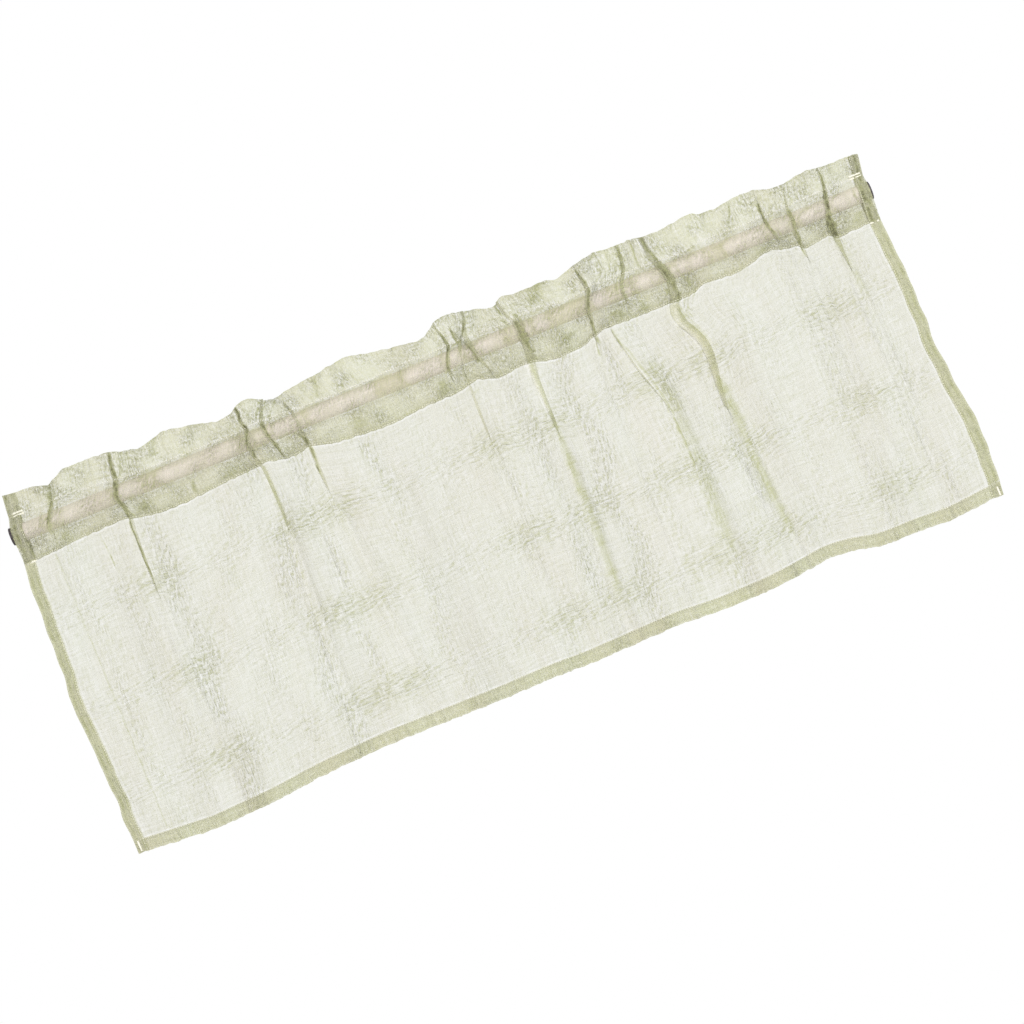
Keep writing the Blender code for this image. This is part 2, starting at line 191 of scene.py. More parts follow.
# The pleats, where the cloth laps over itself, from left to right and each from top to bottom.
#   height, place: points that the pleat passes through
#   lap: how wide the cloth lies three deep there
# span is half the cloth that a pleat takes up, and turn is 1 where the left side lies on top and -1 where
# the right side does.
PLEATS = (
    dict(name="left edge", span=0, turn=1, path=(
        (50, -546, 0), (20, -549, 0), (8, -551, 0), (-30, -551, 0), (-60, -555, 0),
        (-120, -557, 0), (-181, -559, 0), (-205, -562, 0), (-237, -561, 0), (-300, -557, 0),
        (-349, -556, 0), (-408, -555, 0))),
    dict(name="left hem's inner edge", span=1, turn=1, path=(
        (50, -530.5, 0), (20, -534, 0), (8, -536.5, 0), (-30, -537, 0), (-60, -541.5, 0),
        (-120, -544, 0), (-181, -546.5, 0), (-205, -549.5, 0), (-237, -548.5, 0), (-300, -544.5, 0),
        (-349, -543.5, 0), (-408, -542.5, 0))),
    dict(name="left pinch", span=8, turn=-1, path=(
        (46, -488, 0), (24, -492, 1), (14, -496, 4), (0, -504, 3.5), (-12, -507, 2),
        (-24, -506, 0), (-37, -506, 0), (-400, -508, 0))),
    dict(name="left tuck", span=9, turn=-1, path=(
        (48, -408, 1.5), (26, -413, 4), (14, -413, 5), (-4, -419, 5.5), (-18, -417, 5),
        (-30, -412, 4), (-37, -414, 2.5), (-80, -416, 2), (-120, -416, 1.5),
        (-155, -416, 0), (-400, -418, 0))),
    dict(name="first knot, left", span=8, turn=1, path=(
        (44, -249, 1.5), (20, -247, 3), (11, -245, 4), (-5, -249, 3.5), (-18, -250, 3),
        (-30, -247, 2), (-37, -243, 3), (-60, -242, 3.5), (-94, -242, 2.5),
        (-130, -245, 0), (-400, -258, 0))),
    dict(name="first knot, middle", span=7, turn=-1, path=(
        (44, -212, 1), (26, -222, 3), (14, -227, 4), (-2, -225, 4), (-16, -221, 3),
        (-30, -216, 1), (-37, -214, 0), (-400, -208, 0))),
    dict(name="first knot, right", span=8, turn=-1, path=(
        (36, -198, 0), (20, -189, 2), (8, -185, 3), (-6, -184, 3), (-16, -186, 4),
        (-26, -183, 4), (-37, -182, 3.5), (-70, -182, 2.5), (-95, -181, 1),
        (-130, -178, 0), (-400, -160, 0))),
    dict(name="second knot, left", span=7, turn=-1, path=(
        (48, 8, 1), (26, 15, 2.5), (14, 16, 4), (0, 9, 4), (-10, 6, 3.5),
        (-20, 5, 1), (-37, 7, 0), (-400, 2, 0))),
    dict(name="second knot, middle", span=7, turn=1, path=(
        (40, 24, 0), (26, 28, 2.5), (15, 31, 3), (4, 27, 1), (-15, 22, 1),
        (-37, 22, 2), (-70, 21, 2.5), (-100, 21, 1.5), (-140, 20, 0), (-400, 16, 0))),
    dict(name="second knot, right", span=8, turn=-1, path=(
        (42, 46, 1.5), (22, 37, 3), (12, 38, 4), (0, 41, 4), (-14, 45, 3),
        (-28, 51, 1.5), (-37, 54, 0), (-400, 46, 0))),
    dict(name="hooked pleat", span=12, turn=-1, path=(
        (44, 88, 1.5), (24, 93, 3.5), (12, 101, 7), (-2, 103, 8.5), (-13, 103, 8.5),
        (-22, 103, 7.5), (-37, 101, 8.5), (-60, 98, 7), (-90, 99, 4), (-115, 100, 2),
        (-150, 99, 0), (-400, 93, 0))),
    dict(name="right pinch", span=8, turn=-1, path=(
        (46, 190, 1), (26, 195, 3), (15, 197, 4), (4, 190, 4.5), (-8, 186, 4),
        (-20, 188, 2), (-37, 183, 2), (-55, 181, 0), (-400, 178, 0))),
    dict(name="slanting fold", span=8, turn=-1, path=(
        (46, 212, 0), (0, 206, 0), (-30, 203, 0), (-42, 204, 1.5), (-68, 210, 2),
        (-102, 219, 2), (-142, 231, 1), (-180, 235, 0), (-400, 238, 0))),
    dict(name="short pinch", span=8, turn=-1, path=(
        (46, 248, 1.5), (24, 246, 3), (14, 239, 4), (4, 233, 3.5), (-8, 232, 2),
        (-24, 236, 0), (-142, 252, 0), (-400, 262, 0))),
    dict(name="deepest pleat", span=14, turn=-1, path=(
        (48, 277, 2.5), (28, 279, 4), (14, 285, 8), (4, 289, 10), (-12, 293, 10.5),
        (-24, 291, 9), (-37, 286, 11), (-50, 282, 11.5), (-64, 286, 11),
        (-78, 295, 11), (-94, 302, 10.5), (-110, 303, 10), (-130, 301, 8),
        (-150, 298, 4.5), (-175, 297, 1.5), (-200, 299, 0), (-400, 311, 0))),
    dict(name="raised seam", span=8, turn=-1, path=(
        (38, 423, 1), (24, 423, 3), (10, 422, 4), (0, 424, 3.5), (-12, 428, 1.5),
        (-25, 432, 0), (-400, 434, 0))),
    dict(name="stepped pleat", span=8, turn=1, path=(
        (42, 458, 1), (22, 454, 3), (10, 453, 5), (-5, 453, 5), (-20, 452, 4),
        (-37, 453, 3), (-55, 455, 0), (-400, 462, 0))),
    dict(name="dark pleat", span=9, turn=-1, path=(
        (44, 505, 1.5), (22, 505, 3.5), (12, 501, 5), (-2, 496, 5), (-14, 495, 6),
        (-37, 495, 6), (-55, 496, 3), (-90, 498, 0), (-400, 508, 0))),
    dict(name="right edge", span=0, turn=1, path=(
        (47, 556, 0), (20, 552, 0), (-38, 552, 0), (-102, 557, 0), (-160, 558, 0),
        (-205, 557, 0), (-250, 562, 0), (-290, 568, 0), (-333, 570, 0), (-397, 565, 0))),
)

# Open folds and creases, where the cloth only sinks back (or comes forward, under 0) and doesn't lap.
#   height, place, sink
CREASES = (
    dict(name="pressed line", width=2.5, path=((-37, -513, 1.0), (-400, -512, 0.5))),
    dict(name="tuck's twin", width=4, path=((47, -395, 2.5), (22, -408, 2), (14, -412, 0))),
    dict(name="left ripple", width=7, path=(
        (42, -356, 4), (21, -364, 2), (8, -367, -2.5), (-6, -367, -2.5), (-14, -370, 0))),
    dict(name="green crease", width=4, path=((-14, -332, 0), (-20, -331, 1), (-34, -328, 1),
        (-38, -327, 0))),
    dict(name="slack ripple", width=10, path=((44, -292, -3), (20, -286, -1), (14, -284, 0))),
    dict(name="knot's arm", width=4, path=((40, -196, 3), (28, -206, 2), (14, -219, 0))),
    dict(name="header crease", width=4, path=((46, -142, 3), (22, -153, 1.5), (14, -155, 0))),
    dict(name="pocket arc", width=6, path=((14, -44, 0), (6, -49, -2), (-8, -52, -2), (-16, -54, 0))),
    dict(name="second arc", width=5, path=((14, 117, 0), (6, 119, -2.5), (-8, 121, -2.5), (-16, 124, 0))),
    dict(name="right header crease", width=7, path=((46, 136, 3), (22, 128, 2), (14, 124, 0))),
    dict(name="corner pinch", width=4, path=((-39, 182, 2), (-60, 180, 1.5), (-80, 179, 0))),
    dict(name="light line", width=3, path=((46, 266, 2), (20, 262, 1.5), (12, 266, -1), (-4, 273, 0))),
    dict(name="crossed crease", width=3, path=((40, 339, -2), (20, 343, -2), (0, 351, -1.5), (-8, 354, 0))),
    dict(name="right arc", width=5, path=((40, 391, 3), (18, 380, 1), (6, 362, -1.5), (-8, 361, -1),
        (-16, 362, 0))),
    dict(name="last pinch", width=4, path=((40, 540, 1), (12, 530, -1), (-6, 532, -1.5), (-20, 534, 0))),
    dict(name="first knot's fold", width=8, path=((-50, -242, 0), (-110, -243, 3), (-250, -247, 3),
        (-400, -258, 1))),
    dict(name="mate's fold", width=8, path=((-60, -184, 0), (-100, -180, 3), (-231, -160, 3),
        (-400, -150, 1))),
    dict(name="second knot's fold", width=8, path=((-50, 21, 0), (-110, 20, 3), (-300, 14, 3),
        (-400, 12, 1))),
    dict(name="hooked fold", width=8, path=(
        (-60, 99, 0), (-105, 101, 4), (-160, 98, 5), (-235, 98, 5), (-330, 93, 4), (-400, 92, 2))),
    dict(name="slanting fold", width=10, path=(
        (-50, 206, 0), (-90, 220, 3), (-142, 238, 5), (-222, 242, 5), (-330, 244, 4), (-400, 246, 2))),
    dict(name="deepest fold", width=9, path=(
        (-110, 303, 0), (-160, 299, -4), (-200, 303, -6), (-261, 304, -6), (-320, 309, -5),
        (-400, 312, -2))),
    dict(name="dark fold", width=8, path=((-37, 494, 1), (-70, 496, 2), (-105, 502, 1), (-140, 505, 0))),
    dict(name="panel fold 1", width=26, path=((-37, -470, 0), (-120, -476, 5), (-400, -486, 7))),
    dict(name="panel fold 2", width=30, path=((-37, -372, 0), (-120, -376, -5), (-400, -380, -7))),
    dict(name="panel fold 3", width=22, path=((-37, -290, 0), (-120, -284, 4), (-400, -284, 7))),
    dict(name="panel fold 4", width=22, path=((-37, -212, -2), (-120, -212, -4), (-400, -212, -6))),
    dict(name="panel fold 5", width=24, path=((-37, -116, 0), (-120, -114, 4), (-400, -112, 6))),
    dict(name="panel fold 6", width=34, path=((-37, -60, 0), (-120, -56, -4), (-400, -50, -7))),
    dict(name="panel fold 7", width=16, path=((-37, 60, 0), (-120, 64, 3), (-400, 64, 6))),
    dict(name="panel fold 8", width=18, path=((-37, 136, -1), (-120, 136, -3), (-400, 138, -5))),
    dict(name="panel fold 9", width=26, path=((-37, 260, 0), (-120, 268, -4), (-400, 274, -6))),
    dict(name="panel fold 10", width=30, path=((-37, 352, 0), (-120, 356, -4), (-400, 356, -9))),
    dict(name="panel fold 11", width=20, path=((-25, 418, 2), (-120, 418, 4), (-400, 424, 7))),
    dict(name="panel fold 12", width=22, path=((-37, 470, 0), (-120, 472, -4), (-400, 476, -5))),
)

# Lines and hollows where the gathers pinch the cloth, drawn as painted shade: each is named, darkened by a
# share (or brightened, under 0, as a painted highlight along an edge that catches the light), and drawn
# through points of height, place and half width.
SHADE_AND_HIGHLIGHT_LINES = (
    ("left pinch", 0.62, ((33, -491.6, 4.2), (17, -496.3, 3.6), (7, -502.9, 2.4), (-3, -505.3, 1.6))),
    ("left pinch hollow", 0.35, ((47, -489.8, 6.2), (26, -491.6, 5))),
    ("left pinch fork", 0.6, ((18, -496.3, 1.4), (13, -489.8, 1.3))),
    ("left pinch patch", -0.6, ((5, -493.3, 5), (-5, -493.3, 5))),
    ("left wedge", 0.5, ((-8, -514.9, 1.2), (-13, -523.2, 1.2))),
    ("left tuck header", 0.8, ((48, -408.4, 1.6), (28, -412.6, 1.6), (19, -412, 2.4))),
    ("left tuck", 0.85, ((15, -413.8, 2.6), (-1, -417.4, 2.8), (-10, -417.4, 2.8), (-20, -413.8, 2.1),
        (-32, -415.6, 1.2), (-56, -416.2, 1.2), (-106, -416, 1))),
    ("left tuck light", -0.7, ((46, -405.4, 1.4), (21, -408.4, 1.4))),
    ("left tuck rim", -0.6, ((10, -409, 1.6), (-1, -411.4, 1.6), (-13, -410.8, 1.6))),
    ("left tuck lower light", -0.5, ((-34, -419.2, 1.2), (-56, -419.2, 1.2), (-106, -419.2, 1))),
    ("tuck's twin", 0.55, ((46, -396.8, 1.3), (32, -401.3, 1.3), (20, -407.2, 1.3))),
    ("tuck's foot", 0.6, ((-27, -410.8, 1.6), (-32, -407.2, 1.6))),
    ("header hollow 1", 0.3, ((47, -354.6, 6.2), (26, -360.6, 5))),
    ("left ripple", 0.45, ((7, -365.4, 1.8), (-3, -367.8, 2.1), (-11, -370.2, 1.6))),
    ("ripple patch", -0.35, ((4, -353.4, 6.2), (-5, -354.6, 6.2))),
    ("seam crease", 0.4, ((20, -330.7, 1.3), (11, -317.5, 1.3))),
    ("green crease", 0.6, ((-19, -327.1, 1.9), (-32, -330.7, 2.4))),
    ("first knot header", 0.95, ((42, -248.2, 1.4), (23, -247.8, 1.5), (11, -243.7, 1.9))),
    ("first knot left", 0.85, ((13, -243.7, 1.8), (2, -249.4, 1.6), (-8, -252.4, 1.4))),
    ("first knot left lower", 0.9, ((-8, -245.2, 1.4), (-21, -248.2, 1.8))),
    ("first knot glint", -0.8, ((-4, -255.3, 2.1), (-14, -256.5, 2.4))),
    ("first knot light", -0.6, ((9, -240.4, 1.9), (-3, -244.6, 2.1), (-22, -245.2, 2.1))),
    ("first knot rim", -0.6, ((42, -244.6, 1.3), (26, -242.2, 1.6))),
    ("first knot eye", 0.7, ((30, -238.6, 1), (26, -233.8, 1), (21, -232.6, 1.3))),
    ("first knot crease", 0.6, ((39, -219.5, 1.8), (21, -230.2, 1.4))),
    ("first knot crease 2", 0.4, ((35, -213.5, 1.3), (21, -225.4, 1.2))),
    ("first knot arm", 0.6, ((33, -201.5, 1.4), (16, -215.9, 1.3))),
    ("first knot gather", -0.7, ((17, -238.6, 2.1), (16, -224.2, 2.1))),
    ("first knot middle", 0.8, ((14, -226, 1.6), (2, -223.1, 2.2), (-10, -220.7, 2.1), (-27, -217.1, 1.4))),
    ("first knot middle light", -0.4, ((7, -215.9, 3.2), (-8, -212.3, 3.8))),
    ("mate top", 0.75, ((20, -193.2, 1.4), (13, -183, 1.5))),
    ("mate light", -0.7, ((11, -181.2, 1.6), (-1, -177.6, 1.6), (-15, -172.8, 1.4))),
    ("mate", 0.9, ((-14, -192, 1.6), (-21, -184.8, 2), (-32, -181.8, 1.5), (-46, -182, 1.2),
        (-68, -183, 1))),
    ("header crease", 0.5, ((40, -147.7, 1.4), (17, -151.7, 1.3))),
    ("first knot body", 0.3, ((-34, -243.4, 2.4), (-70, -242.8, 2.6), (-118, -242.2, 3.8))),
    ("first knot body light", -0.5, ((-34, -246.4, 1.2), (-70, -246, 1.2))),
    ("pocket arc", 0.45, ((10, -47.2, 1.6), (-3, -50.8, 2.1), (-11, -52, 1.6))),
    ("pocket arc light", -0.4, ((17, -38.9, 1.4), (10, -44.9, 1.4), (2, -47.2, 1.4))),
    ("second knot left", 0.85, ((19, 17.3, 1.8), (8, 10.8, 1.9), (-1, 7.8, 1.6), (-10, 5.4, 1.4))),
    ("second knot patch", -0.7, ((8, 16.1, 3.8), (-10, 14.4, 4.3))),
    ("second knot shelf", 0.8, ((-14, 6.6, 1.2), (-15, 20.9, 1.2))),
    ("second knot right", 0.75, ((14, 34.1, 1.6), (-1, 40.1, 2), (-15, 42.5, 1.6))),
    ("second knot right 2", 0.5, ((13, 38.9, 1), (2, 42.5, 1))),
    ("second knot header", 0.6, ((35, 11.4, 1.4), (19, 16.1, 1.5))),
    ("second knot header 2", 0.7, ((33, 24.5, 1.2), (16, 27.5, 1.5))),
    ("second knot header 3", 0.9, ((35, 43.7, 1.4), (16, 31.7, 1.6))),
    ("second knot spot", 1, ((17, 25.7, 1.6), (15, 32.9, 1.6))),
    ("second knot light", -0.6, ((35, 20.9, 2), (21, 22.1, 2))),
    ("second knot ball", -0.5, ((7, 55.6, 8.6), (-8, 58, 8.6))),
    ("second knot body", -0.4, ((-36, 22.1, 1.3), (-64, 21.5, 1.3))),
    ("hooked header", 0.7, ((44, 86.1, 1.5), (26, 87.3, 1.5), (11, 91.5, 1.4))),
    ("hooked tip", 0.9, ((30, 99.3, 1.2), (29, 93.3, 1.2), (25, 103.5, 1.4), (14, 104.1, 1.6))),
    ("hooked tube light", -0.8, ((23, 97.5, 2.6), (2, 96.9, 2.4), (-15, 96.3, 2.4))),
    ("hooked gap", 0.5, ((14, 104.1, 3.9), (2, 104.4, 4.8), (-13, 104.4, 4.8))),
    ("hooked gap edges", 0.95, ((14, 100.6, 1.2), (2, 100.2, 1.2), (-13, 100.4, 1.2))),
    ("hooked gap edges 2", 0.9, ((16, 105.5, 1.3), (2, 109, 1.3), (-13, 108.6, 1.3))),
    ("hooked shelf", 0.9, ((-12, 104.4, 4.6), (-13.5, 104.4, 4.6))),
    ("hooked lower", 0.85, ((-15, 103.5, 2.1), (-28, 107.4, 1.8), (-40, 108.2, 1.4))),
    ("hooked rim", -0.6, ((11, 111.8, 1.8), (-10, 111.8, 1.8))),
    ("hooked body top", 0.12, ((-41, 99.9, 3.1), (-70, 99.9, 2.6), (-106, 100.5, 2))),
    ("hooked body", 0.4, ((-104, 100.5, 2), (-154, 100.5, 4.8), (-225, 99.7, 6), (-339, 96.1, 5.6))),
    ("hooked body edge", 0.5, ((-110, 97.5, 1.2), (-154, 98.5, 1.3), (-205, 96, 1.2))),
    ("hooked body light", -1, ((-39, 95.4, 2), (-64, 95.2, 1.8), (-100, 97.4, 1.5))),
    ("second arc", 0.5, ((10, 119, 1.8), (-1, 117.8, 2), (-10, 119.6, 1.6))),
    ("header slab", 0.4, ((47, 140.5, 8), (26, 133.4, 7.4))),
    ("header slab edge", 0.5, ((45, 130.4, 1.2), (23, 125, 1.2))),
    ("right pinch header", 0.8, ((42, 190.2, 1.5), (29, 195.2, 1.5), (17, 197.1, 1.4))),
    ("right pinch header light", -0.7, ((41, 187.2, 1.3), (30, 191.4, 1.3))),
    ("right pinch", 0.85, ((15, 197.1, 1.6), (4, 190.8, 2.1), (-7, 187.2, 1.6))),
    ("right pinch patch", -0.5, ((7, 200.3, 6.2), (-8, 201.5, 6.8))),
    ("right pinch lower", 0.7, ((-20, 186, 1.4), (-38, 184.2, 1.5), (-60, 180, 1))),
    ("short pinch header", 0.45, ((50, 248.2, 2.1), (33, 245.8, 1.9), (17, 240.4, 1.5))),
    ("short pinch arc", 0.55, ((16, 238.6, 1.3), (9, 229, 1.4), (-1, 227, 1.4), (-10, 230.2, 1.3))),
    ("light line", 0.55, ((46, 264.3, 1.3), (21, 261.9, 1.3), (11, 267.3, 1.2))),
    ("light line mate", -0.5, ((45, 267.3, 1.3), (23, 264.9, 1.3))),
    ("deepest header", 0.62, ((52, 278.1, 1.8), (35, 278.7, 1.7), (23, 284.1, 1.7), (16, 286.4, 1.9))),
    ("deepest header light", -0.7, ((50, 273.9, 1.4), (33, 274.5, 1.4))),
    ("deepest gap", 0.46, ((16, 285.2, 3.6), (1, 290, 4.6), (-14, 294.2, 4))),
    ("deepest gap edges", 0.95, ((18, 284, 1.3), (1, 286, 1.2), (-14, 290.8, 1.2))),
    ("deepest gap rim", -0.7, ((15, 291.2, 1.4), (-1, 297.2, 1.4), (-14, 300.2, 1.4))),
    ("deepest strip", -0.6, ((13, 278.7, 2.6), (-10, 282.9, 2.8))),
    ("deepest lower", 0.95, ((-15, 291.2, 2.1), (-27, 294.8, 2.1), (-38, 293.4, 1.6))),
    ("deepest tip", 0.8, ((-19, 284.6, 1.3), (-22, 279.3, 1.3), (-23, 288.8, 1.4), (-29, 274.5, 1.3))),
    ("deepest tip light", -0.6, ((-26, 281.7, 2.1), (-36, 282.9, 2.4))),
    ("deepest body edge", -1, ((-41, 281.2, 2.3), (-60, 281.6, 2.3), (-84, 292.6, 2.3),
        (-103, 297.8, 2.2), (-124, 297, 2))),
    ("deepest body top", 0.4, ((-41, 287.6, 2.2), (-63, 290.4, 2.2), (-84, 302, 2.3), (-103, 305.6, 2.2),
        (-127, 303, 2))),
    ("deepest body", 0.42, ((-140, 302, 3.6), (-154, 302, 5.6), (-190, 304.6, 6.8), (-237, 304.4, 6.8),
        (-297, 309.2, 6.6), (-345, 315.1, 5.6))),
    ("deepest diagonals", 0.5, ((-42, 308, 1.2), (-51, 293.6, 1.2))),
    ("deepest diagonals 2", 0.4, ((-51, 309.2, 1.2), (-58, 291.2, 1.2))),
    ("seam rise", 0.6, ((-29, 327.1, 1), (-32, 316.3, 1.3), (-38, 310.4, 1.2))),
    ("raised green", 0.5, ((-13, 308, 2.6), (-25, 312.8, 5))),
    ("crossed header light", -0.6, ((39, 339.1, 1.4), (21, 343.8, 1.4), (-1, 349.8, 1.5),
        (-10, 352.2, 1.4))),
    ("crossed seam", 0.65, ((20, 339.1, 1.2), (16, 328.3, 1.2), (12, 315.1, 1.2))),
    ("right diagonal", 0.7, ((48, 390.5, 1.4), (35, 386.9, 1.4), (22, 378.5, 1.4), (15, 367.8, 1.3))),
    ("right arc", 0.5, ((9, 363, 1.6), (-3, 361.2, 1.8), (-13, 363, 1.4))),
    ("raised pinch", 0.8, ((35, 422.8, 1.4), (14, 421.6, 1.8), (2, 424, 1.5), (-5, 427.6, 1.2))),
    ("raised patch", -0.5, ((9, 433.5, 6.2), (-5, 435.9, 6.2))),
    ("step", 0.45, ((14, 452.7, 4.5), (-10, 452.7, 4.5))),
    ("step line", 0.8, ((-9, 452.7, 1.4), (-22, 451.5, 1.5), (-36, 452.1, 1.4))),
    ("dark pleat header", 0.8, ((42, 505.3, 1.4), (23, 504.1, 1.6), (11, 499.3, 2))),
    ("dark pleat spot", 1, ((11, 498.7, 2.1), (-5, 496.9, 2.4))),
    ("dark pleat", 0.85, ((-8, 495.7, 4), (-22, 494.5, 4.5), (-38, 495.1, 4))),
    ("dark pleat body", 0.25, ((-41, 495.7, 4.4), (-82, 500.5, 5), (-118, 502.9, 5))),
    ("dark pleat light", -0.5, ((9, 508.9, 5), (-5, 510.1, 5))),
    ("last pinch", 0.6, ((10, 532.8, 1.4), (2, 531.6, 1.6), (-7, 533.4, 1.3))),
    ("slanting line", 0.5, ((-38, 203.9, 1.4), (-58, 208.7, 1.4), (-88, 219.5, 1.6), (-120, 229, 1.6),
        (-154, 235, 1.6), (-225, 236.8, 2))),
    ("slanting light", -0.5, ((-41, 200.9, 1.4), (-60, 205.1, 1.4), (-91, 215.9, 1.4), (-123, 225.4, 1.4))),
    ("slanting hollow", 0.3, ((-94, 232.6, 6.2), (-142, 242.2, 8.6), (-237, 243.4, 9.8), (-333, 241, 8.6))),
    ("slub", 0.7, ((-45, -453.9, 0.8), (-63, -452.7, 0.9), (-81, -452.7, 0.8))),
    ("left hem rows", 0.85, ((47, -542.8, 1.5), (22, -544.5, 1.5), (-36, -547, 1.5))),
    ("left hem rows 2", 0.8, ((47, -533.4, 1.5), (22, -535.5, 1.5), (-36, -538.6, 1.5))),
    ("left hem light", -0.8, ((47, -538, 1.5), (22, -540, 1.5), (-36, -542.6, 1.5))),
    ("right hem rows", 0.85, ((46, 544.4, 1.4), (22, 541.6, 1.4), (-36, 541.6, 1.4))),
    ("right hem rows 2", 0.8, ((46, 550.4, 1.4), (22, 547.6, 1.4), (-36, 547.6, 1.4))),
    ("right hem light", -0.7, ((46, 547.4, 1.4), (22, 544.6, 1.4), (-36, 544.6, 1.4))),
    ("pressed line", 0.35, ((-39, -512.5, 0.8), (-190, -512.5, 0.8), (-393, -511.3, 0.8))),
    ("left hollow", 0.3, ((-16, -496.9, 7.4), (-27, -489.8, 8.6))),
    ("green 1", 0.38, ((-20, -389.3, 7.4), (-29, -394.1, 8.6))),
    ("green 2", 0.38, ((-22, -276.9, 9.8), (-30, -285.2, 9.8))),
    ("green 3", 0.34, ((-25, -121.4, 9.8), (-34, -111.8, 11))),
    ("green 4", 0.42, ((-20, -7.8, 6.2), (-36, -9, 7.4))),
    ("green 5", 0.38, ((-25, 158.5, 11), (-34, 139.3, 11))),
    ("green 6", 0.38, ((-20, 217.1, 7.4), (-29, 223.1, 8.6))),
    ("green 7", 0.42, ((-20, 251.8, 5), (-32, 250.6, 6.2))),
    ("green 8", 0.34, ((-16, 414.4, 7.4), (-20, 396.5, 9.8))),
    ("green 9", 0.38, ((-20, 534, 7.4), (-29, 522.1, 8.6))),
)

# Small puffs of the pocket's front, each to the right of a pinch: place, height, radius, and how far it
# stands out.
PUFFS = (
    (-491, 0, 9, 4.0), (-402, 1, 10, 4.0), (-354, 0, 13, 2.6), (-236, 0, 6, 3.0), (-204, 0, 12, 4.0),
    (-168, 0, 8, 2.4), (-36, 0, 14, 2.4), (17, 0, 6, 3.0), (60, 0, 13, 4.2), (90, 2, 5, 3.0),
        (128, 0, 9, 2.6),
    (201, 0, 9, 3.6), (256, 0, 12, 3.6), (276, 0, 6, 3.0), (312, 0, 9, 2.6), (330, -2, 14, 2.2),
        (376, -1, 12, 3.0),
    (439, -2, 8, 3.4), (472, -4, 11, 3.8), (514, -2, 10, 3.4),
)

# Stretches of the pocket that lie on the rod and show its paint. Between them the cloth stands off, and
# painted shade makes it read greener and denser.
ON_THE_ROD = (
    (-545, -515), (-485, -427), (-413, -387), (-363, -262), (-219, -182), (-168, -86), (-46, 0), (14, 24),
    (47, 80), (119, 136), (195, 213), (253, 275), (299, 337), (360, 414), (428, 446), (458, 490),
        (502, 534),
)

# Heights of the creases left by the folded packet, the places along each where the weave is most crumpled,
# and the bands of crinkled warp that run down the cloth: place, half width, strength.
PACKET_CREASES = (-114.0, -229.0, -339.0)
CRUMPLED = (-412.0, -232.0, -180.0, 22.0, 100.0, 224.0, 301.0, 452.0)
WARP_BANDS = (
    (-500, 12, 0.5), (-452, 16, 0.35), (-392, 20, 1.0), (-318, 14, 0.4), (-262, 18, 0.9), (-205, 10, 0.6),
    (-118, 12, 0.7), (-40, 12, 0.3), (22, 16, 0.5), (70, 12, 1.0), (134, 18, 1.0), (190, 9, 0.5),
    (238, 16, 0.6), (296, 14, 0.6), (352, 12, 0.3), (436, 18, 0.5), (500, 14, 0.6),
)


def ease(t):
    """Goes from 0 to 1 with level ends."""
    t = np.clip(t, 0.0, 1.0)
    return t * t * (3.0 - 2.0 * t)


def drawn(points, at, blur):
    """A smooth line through (place, value) points, read at many places. blur rounds its corners."""
    xs, ys = zip(*sorted((p[0], p[1]) for p in points))
    fine = np.arange(xs[0] - 4 * blur, xs[-1] + 4 * blur, 1.0)
    reach = np.arange(-3 * blur, 3 * blur + 1)
    weights = np.exp(-0.5 * (reach / blur) ** 2)
    padded = np.interp(fine, xs, ys)
    padded = np.pad(padded, len(reach) // 2, mode="edge")
    return np.interp(at, fine, np.convolve(padded, weights / weights.sum(), mode="valid"))


def column_of(fold, number, heights, blur=3):
    """One of a fold's columns read at many heights: 1 its place, 2 its lap or sink."""
    return drawn([(point[0], point[number]) for point in fold["path"]], heights, blur)


def ripples(x, z, length, stretch, seed):
    """Smooth irregular waves between about -1 and 1: length along the rod, stretch times that downward."""
    draw = np.random.default_rng(abs(seed))
    total = np.zeros_like(x)
    for size in (0.7, 0.85, 1.0, 1.2, 1.45, 1.8):
        phase, slant = draw.uniform(0, 2 * math.pi), draw.uniform(-1, 1)
        total += np.sin(2 * math.pi * (x / length * size + slant * z / (length * stretch)) + phase)
    return total / 3.0


# Where the cloth is cut into columns: 1.6 mm apart, and finer in the pleats. A column is named by where it
# crosses the pocket's lower seam. The side turns follow at both ends, as distances in from the edge.
SEAM_HEIGHT = -37.0
for pleat in PLEATS:
    pleat["seam"] = float(column_of(pleat, 1, np.array([SEAM_HEIGHT]))[0])
left_edge, right_edge = PLEATS[0]["seam"], PLEATS[-1]["seam"]
coarse = np.linspace(left_edge, right_edge, round((right_edge - left_edge) / 1.6) + 1)
in_pleat = np.zeros(len(coarse), bool)
fine = []
for pleat in PLEATS[1:-1]:
    in_pleat |= abs(coarse - pleat["seam"]) < pleat["span"] + 1.0
    fine += list(pleat["seam"] + np.linspace(-1, 1, 19) * pleat["span"])
face = np.array(sorted(set(np.round(list(coarse[~in_pleat]) + fine, 3))))
face = face[np.insert(np.diff(face) > 0.3, 0, True)]
turned = np.linspace(0.0, SIDE_HEM, 5)
under = np.linspace(SIDE_HEM, SIDE_HEM - SIDE_TURN, 4)
side_in = np.concatenate([turned[1:], under[1:]])
side_layer = np.concatenate([np.full(len(turned) - 1, 2.0), np.full(len(under) - 1, 1.0)])
columns = np.concatenate([left_edge + side_in[::-1], face, right_edge - side_in])
behind = np.concatenate([side_layer[::-1], np.zeros(len(face)), side_layer])

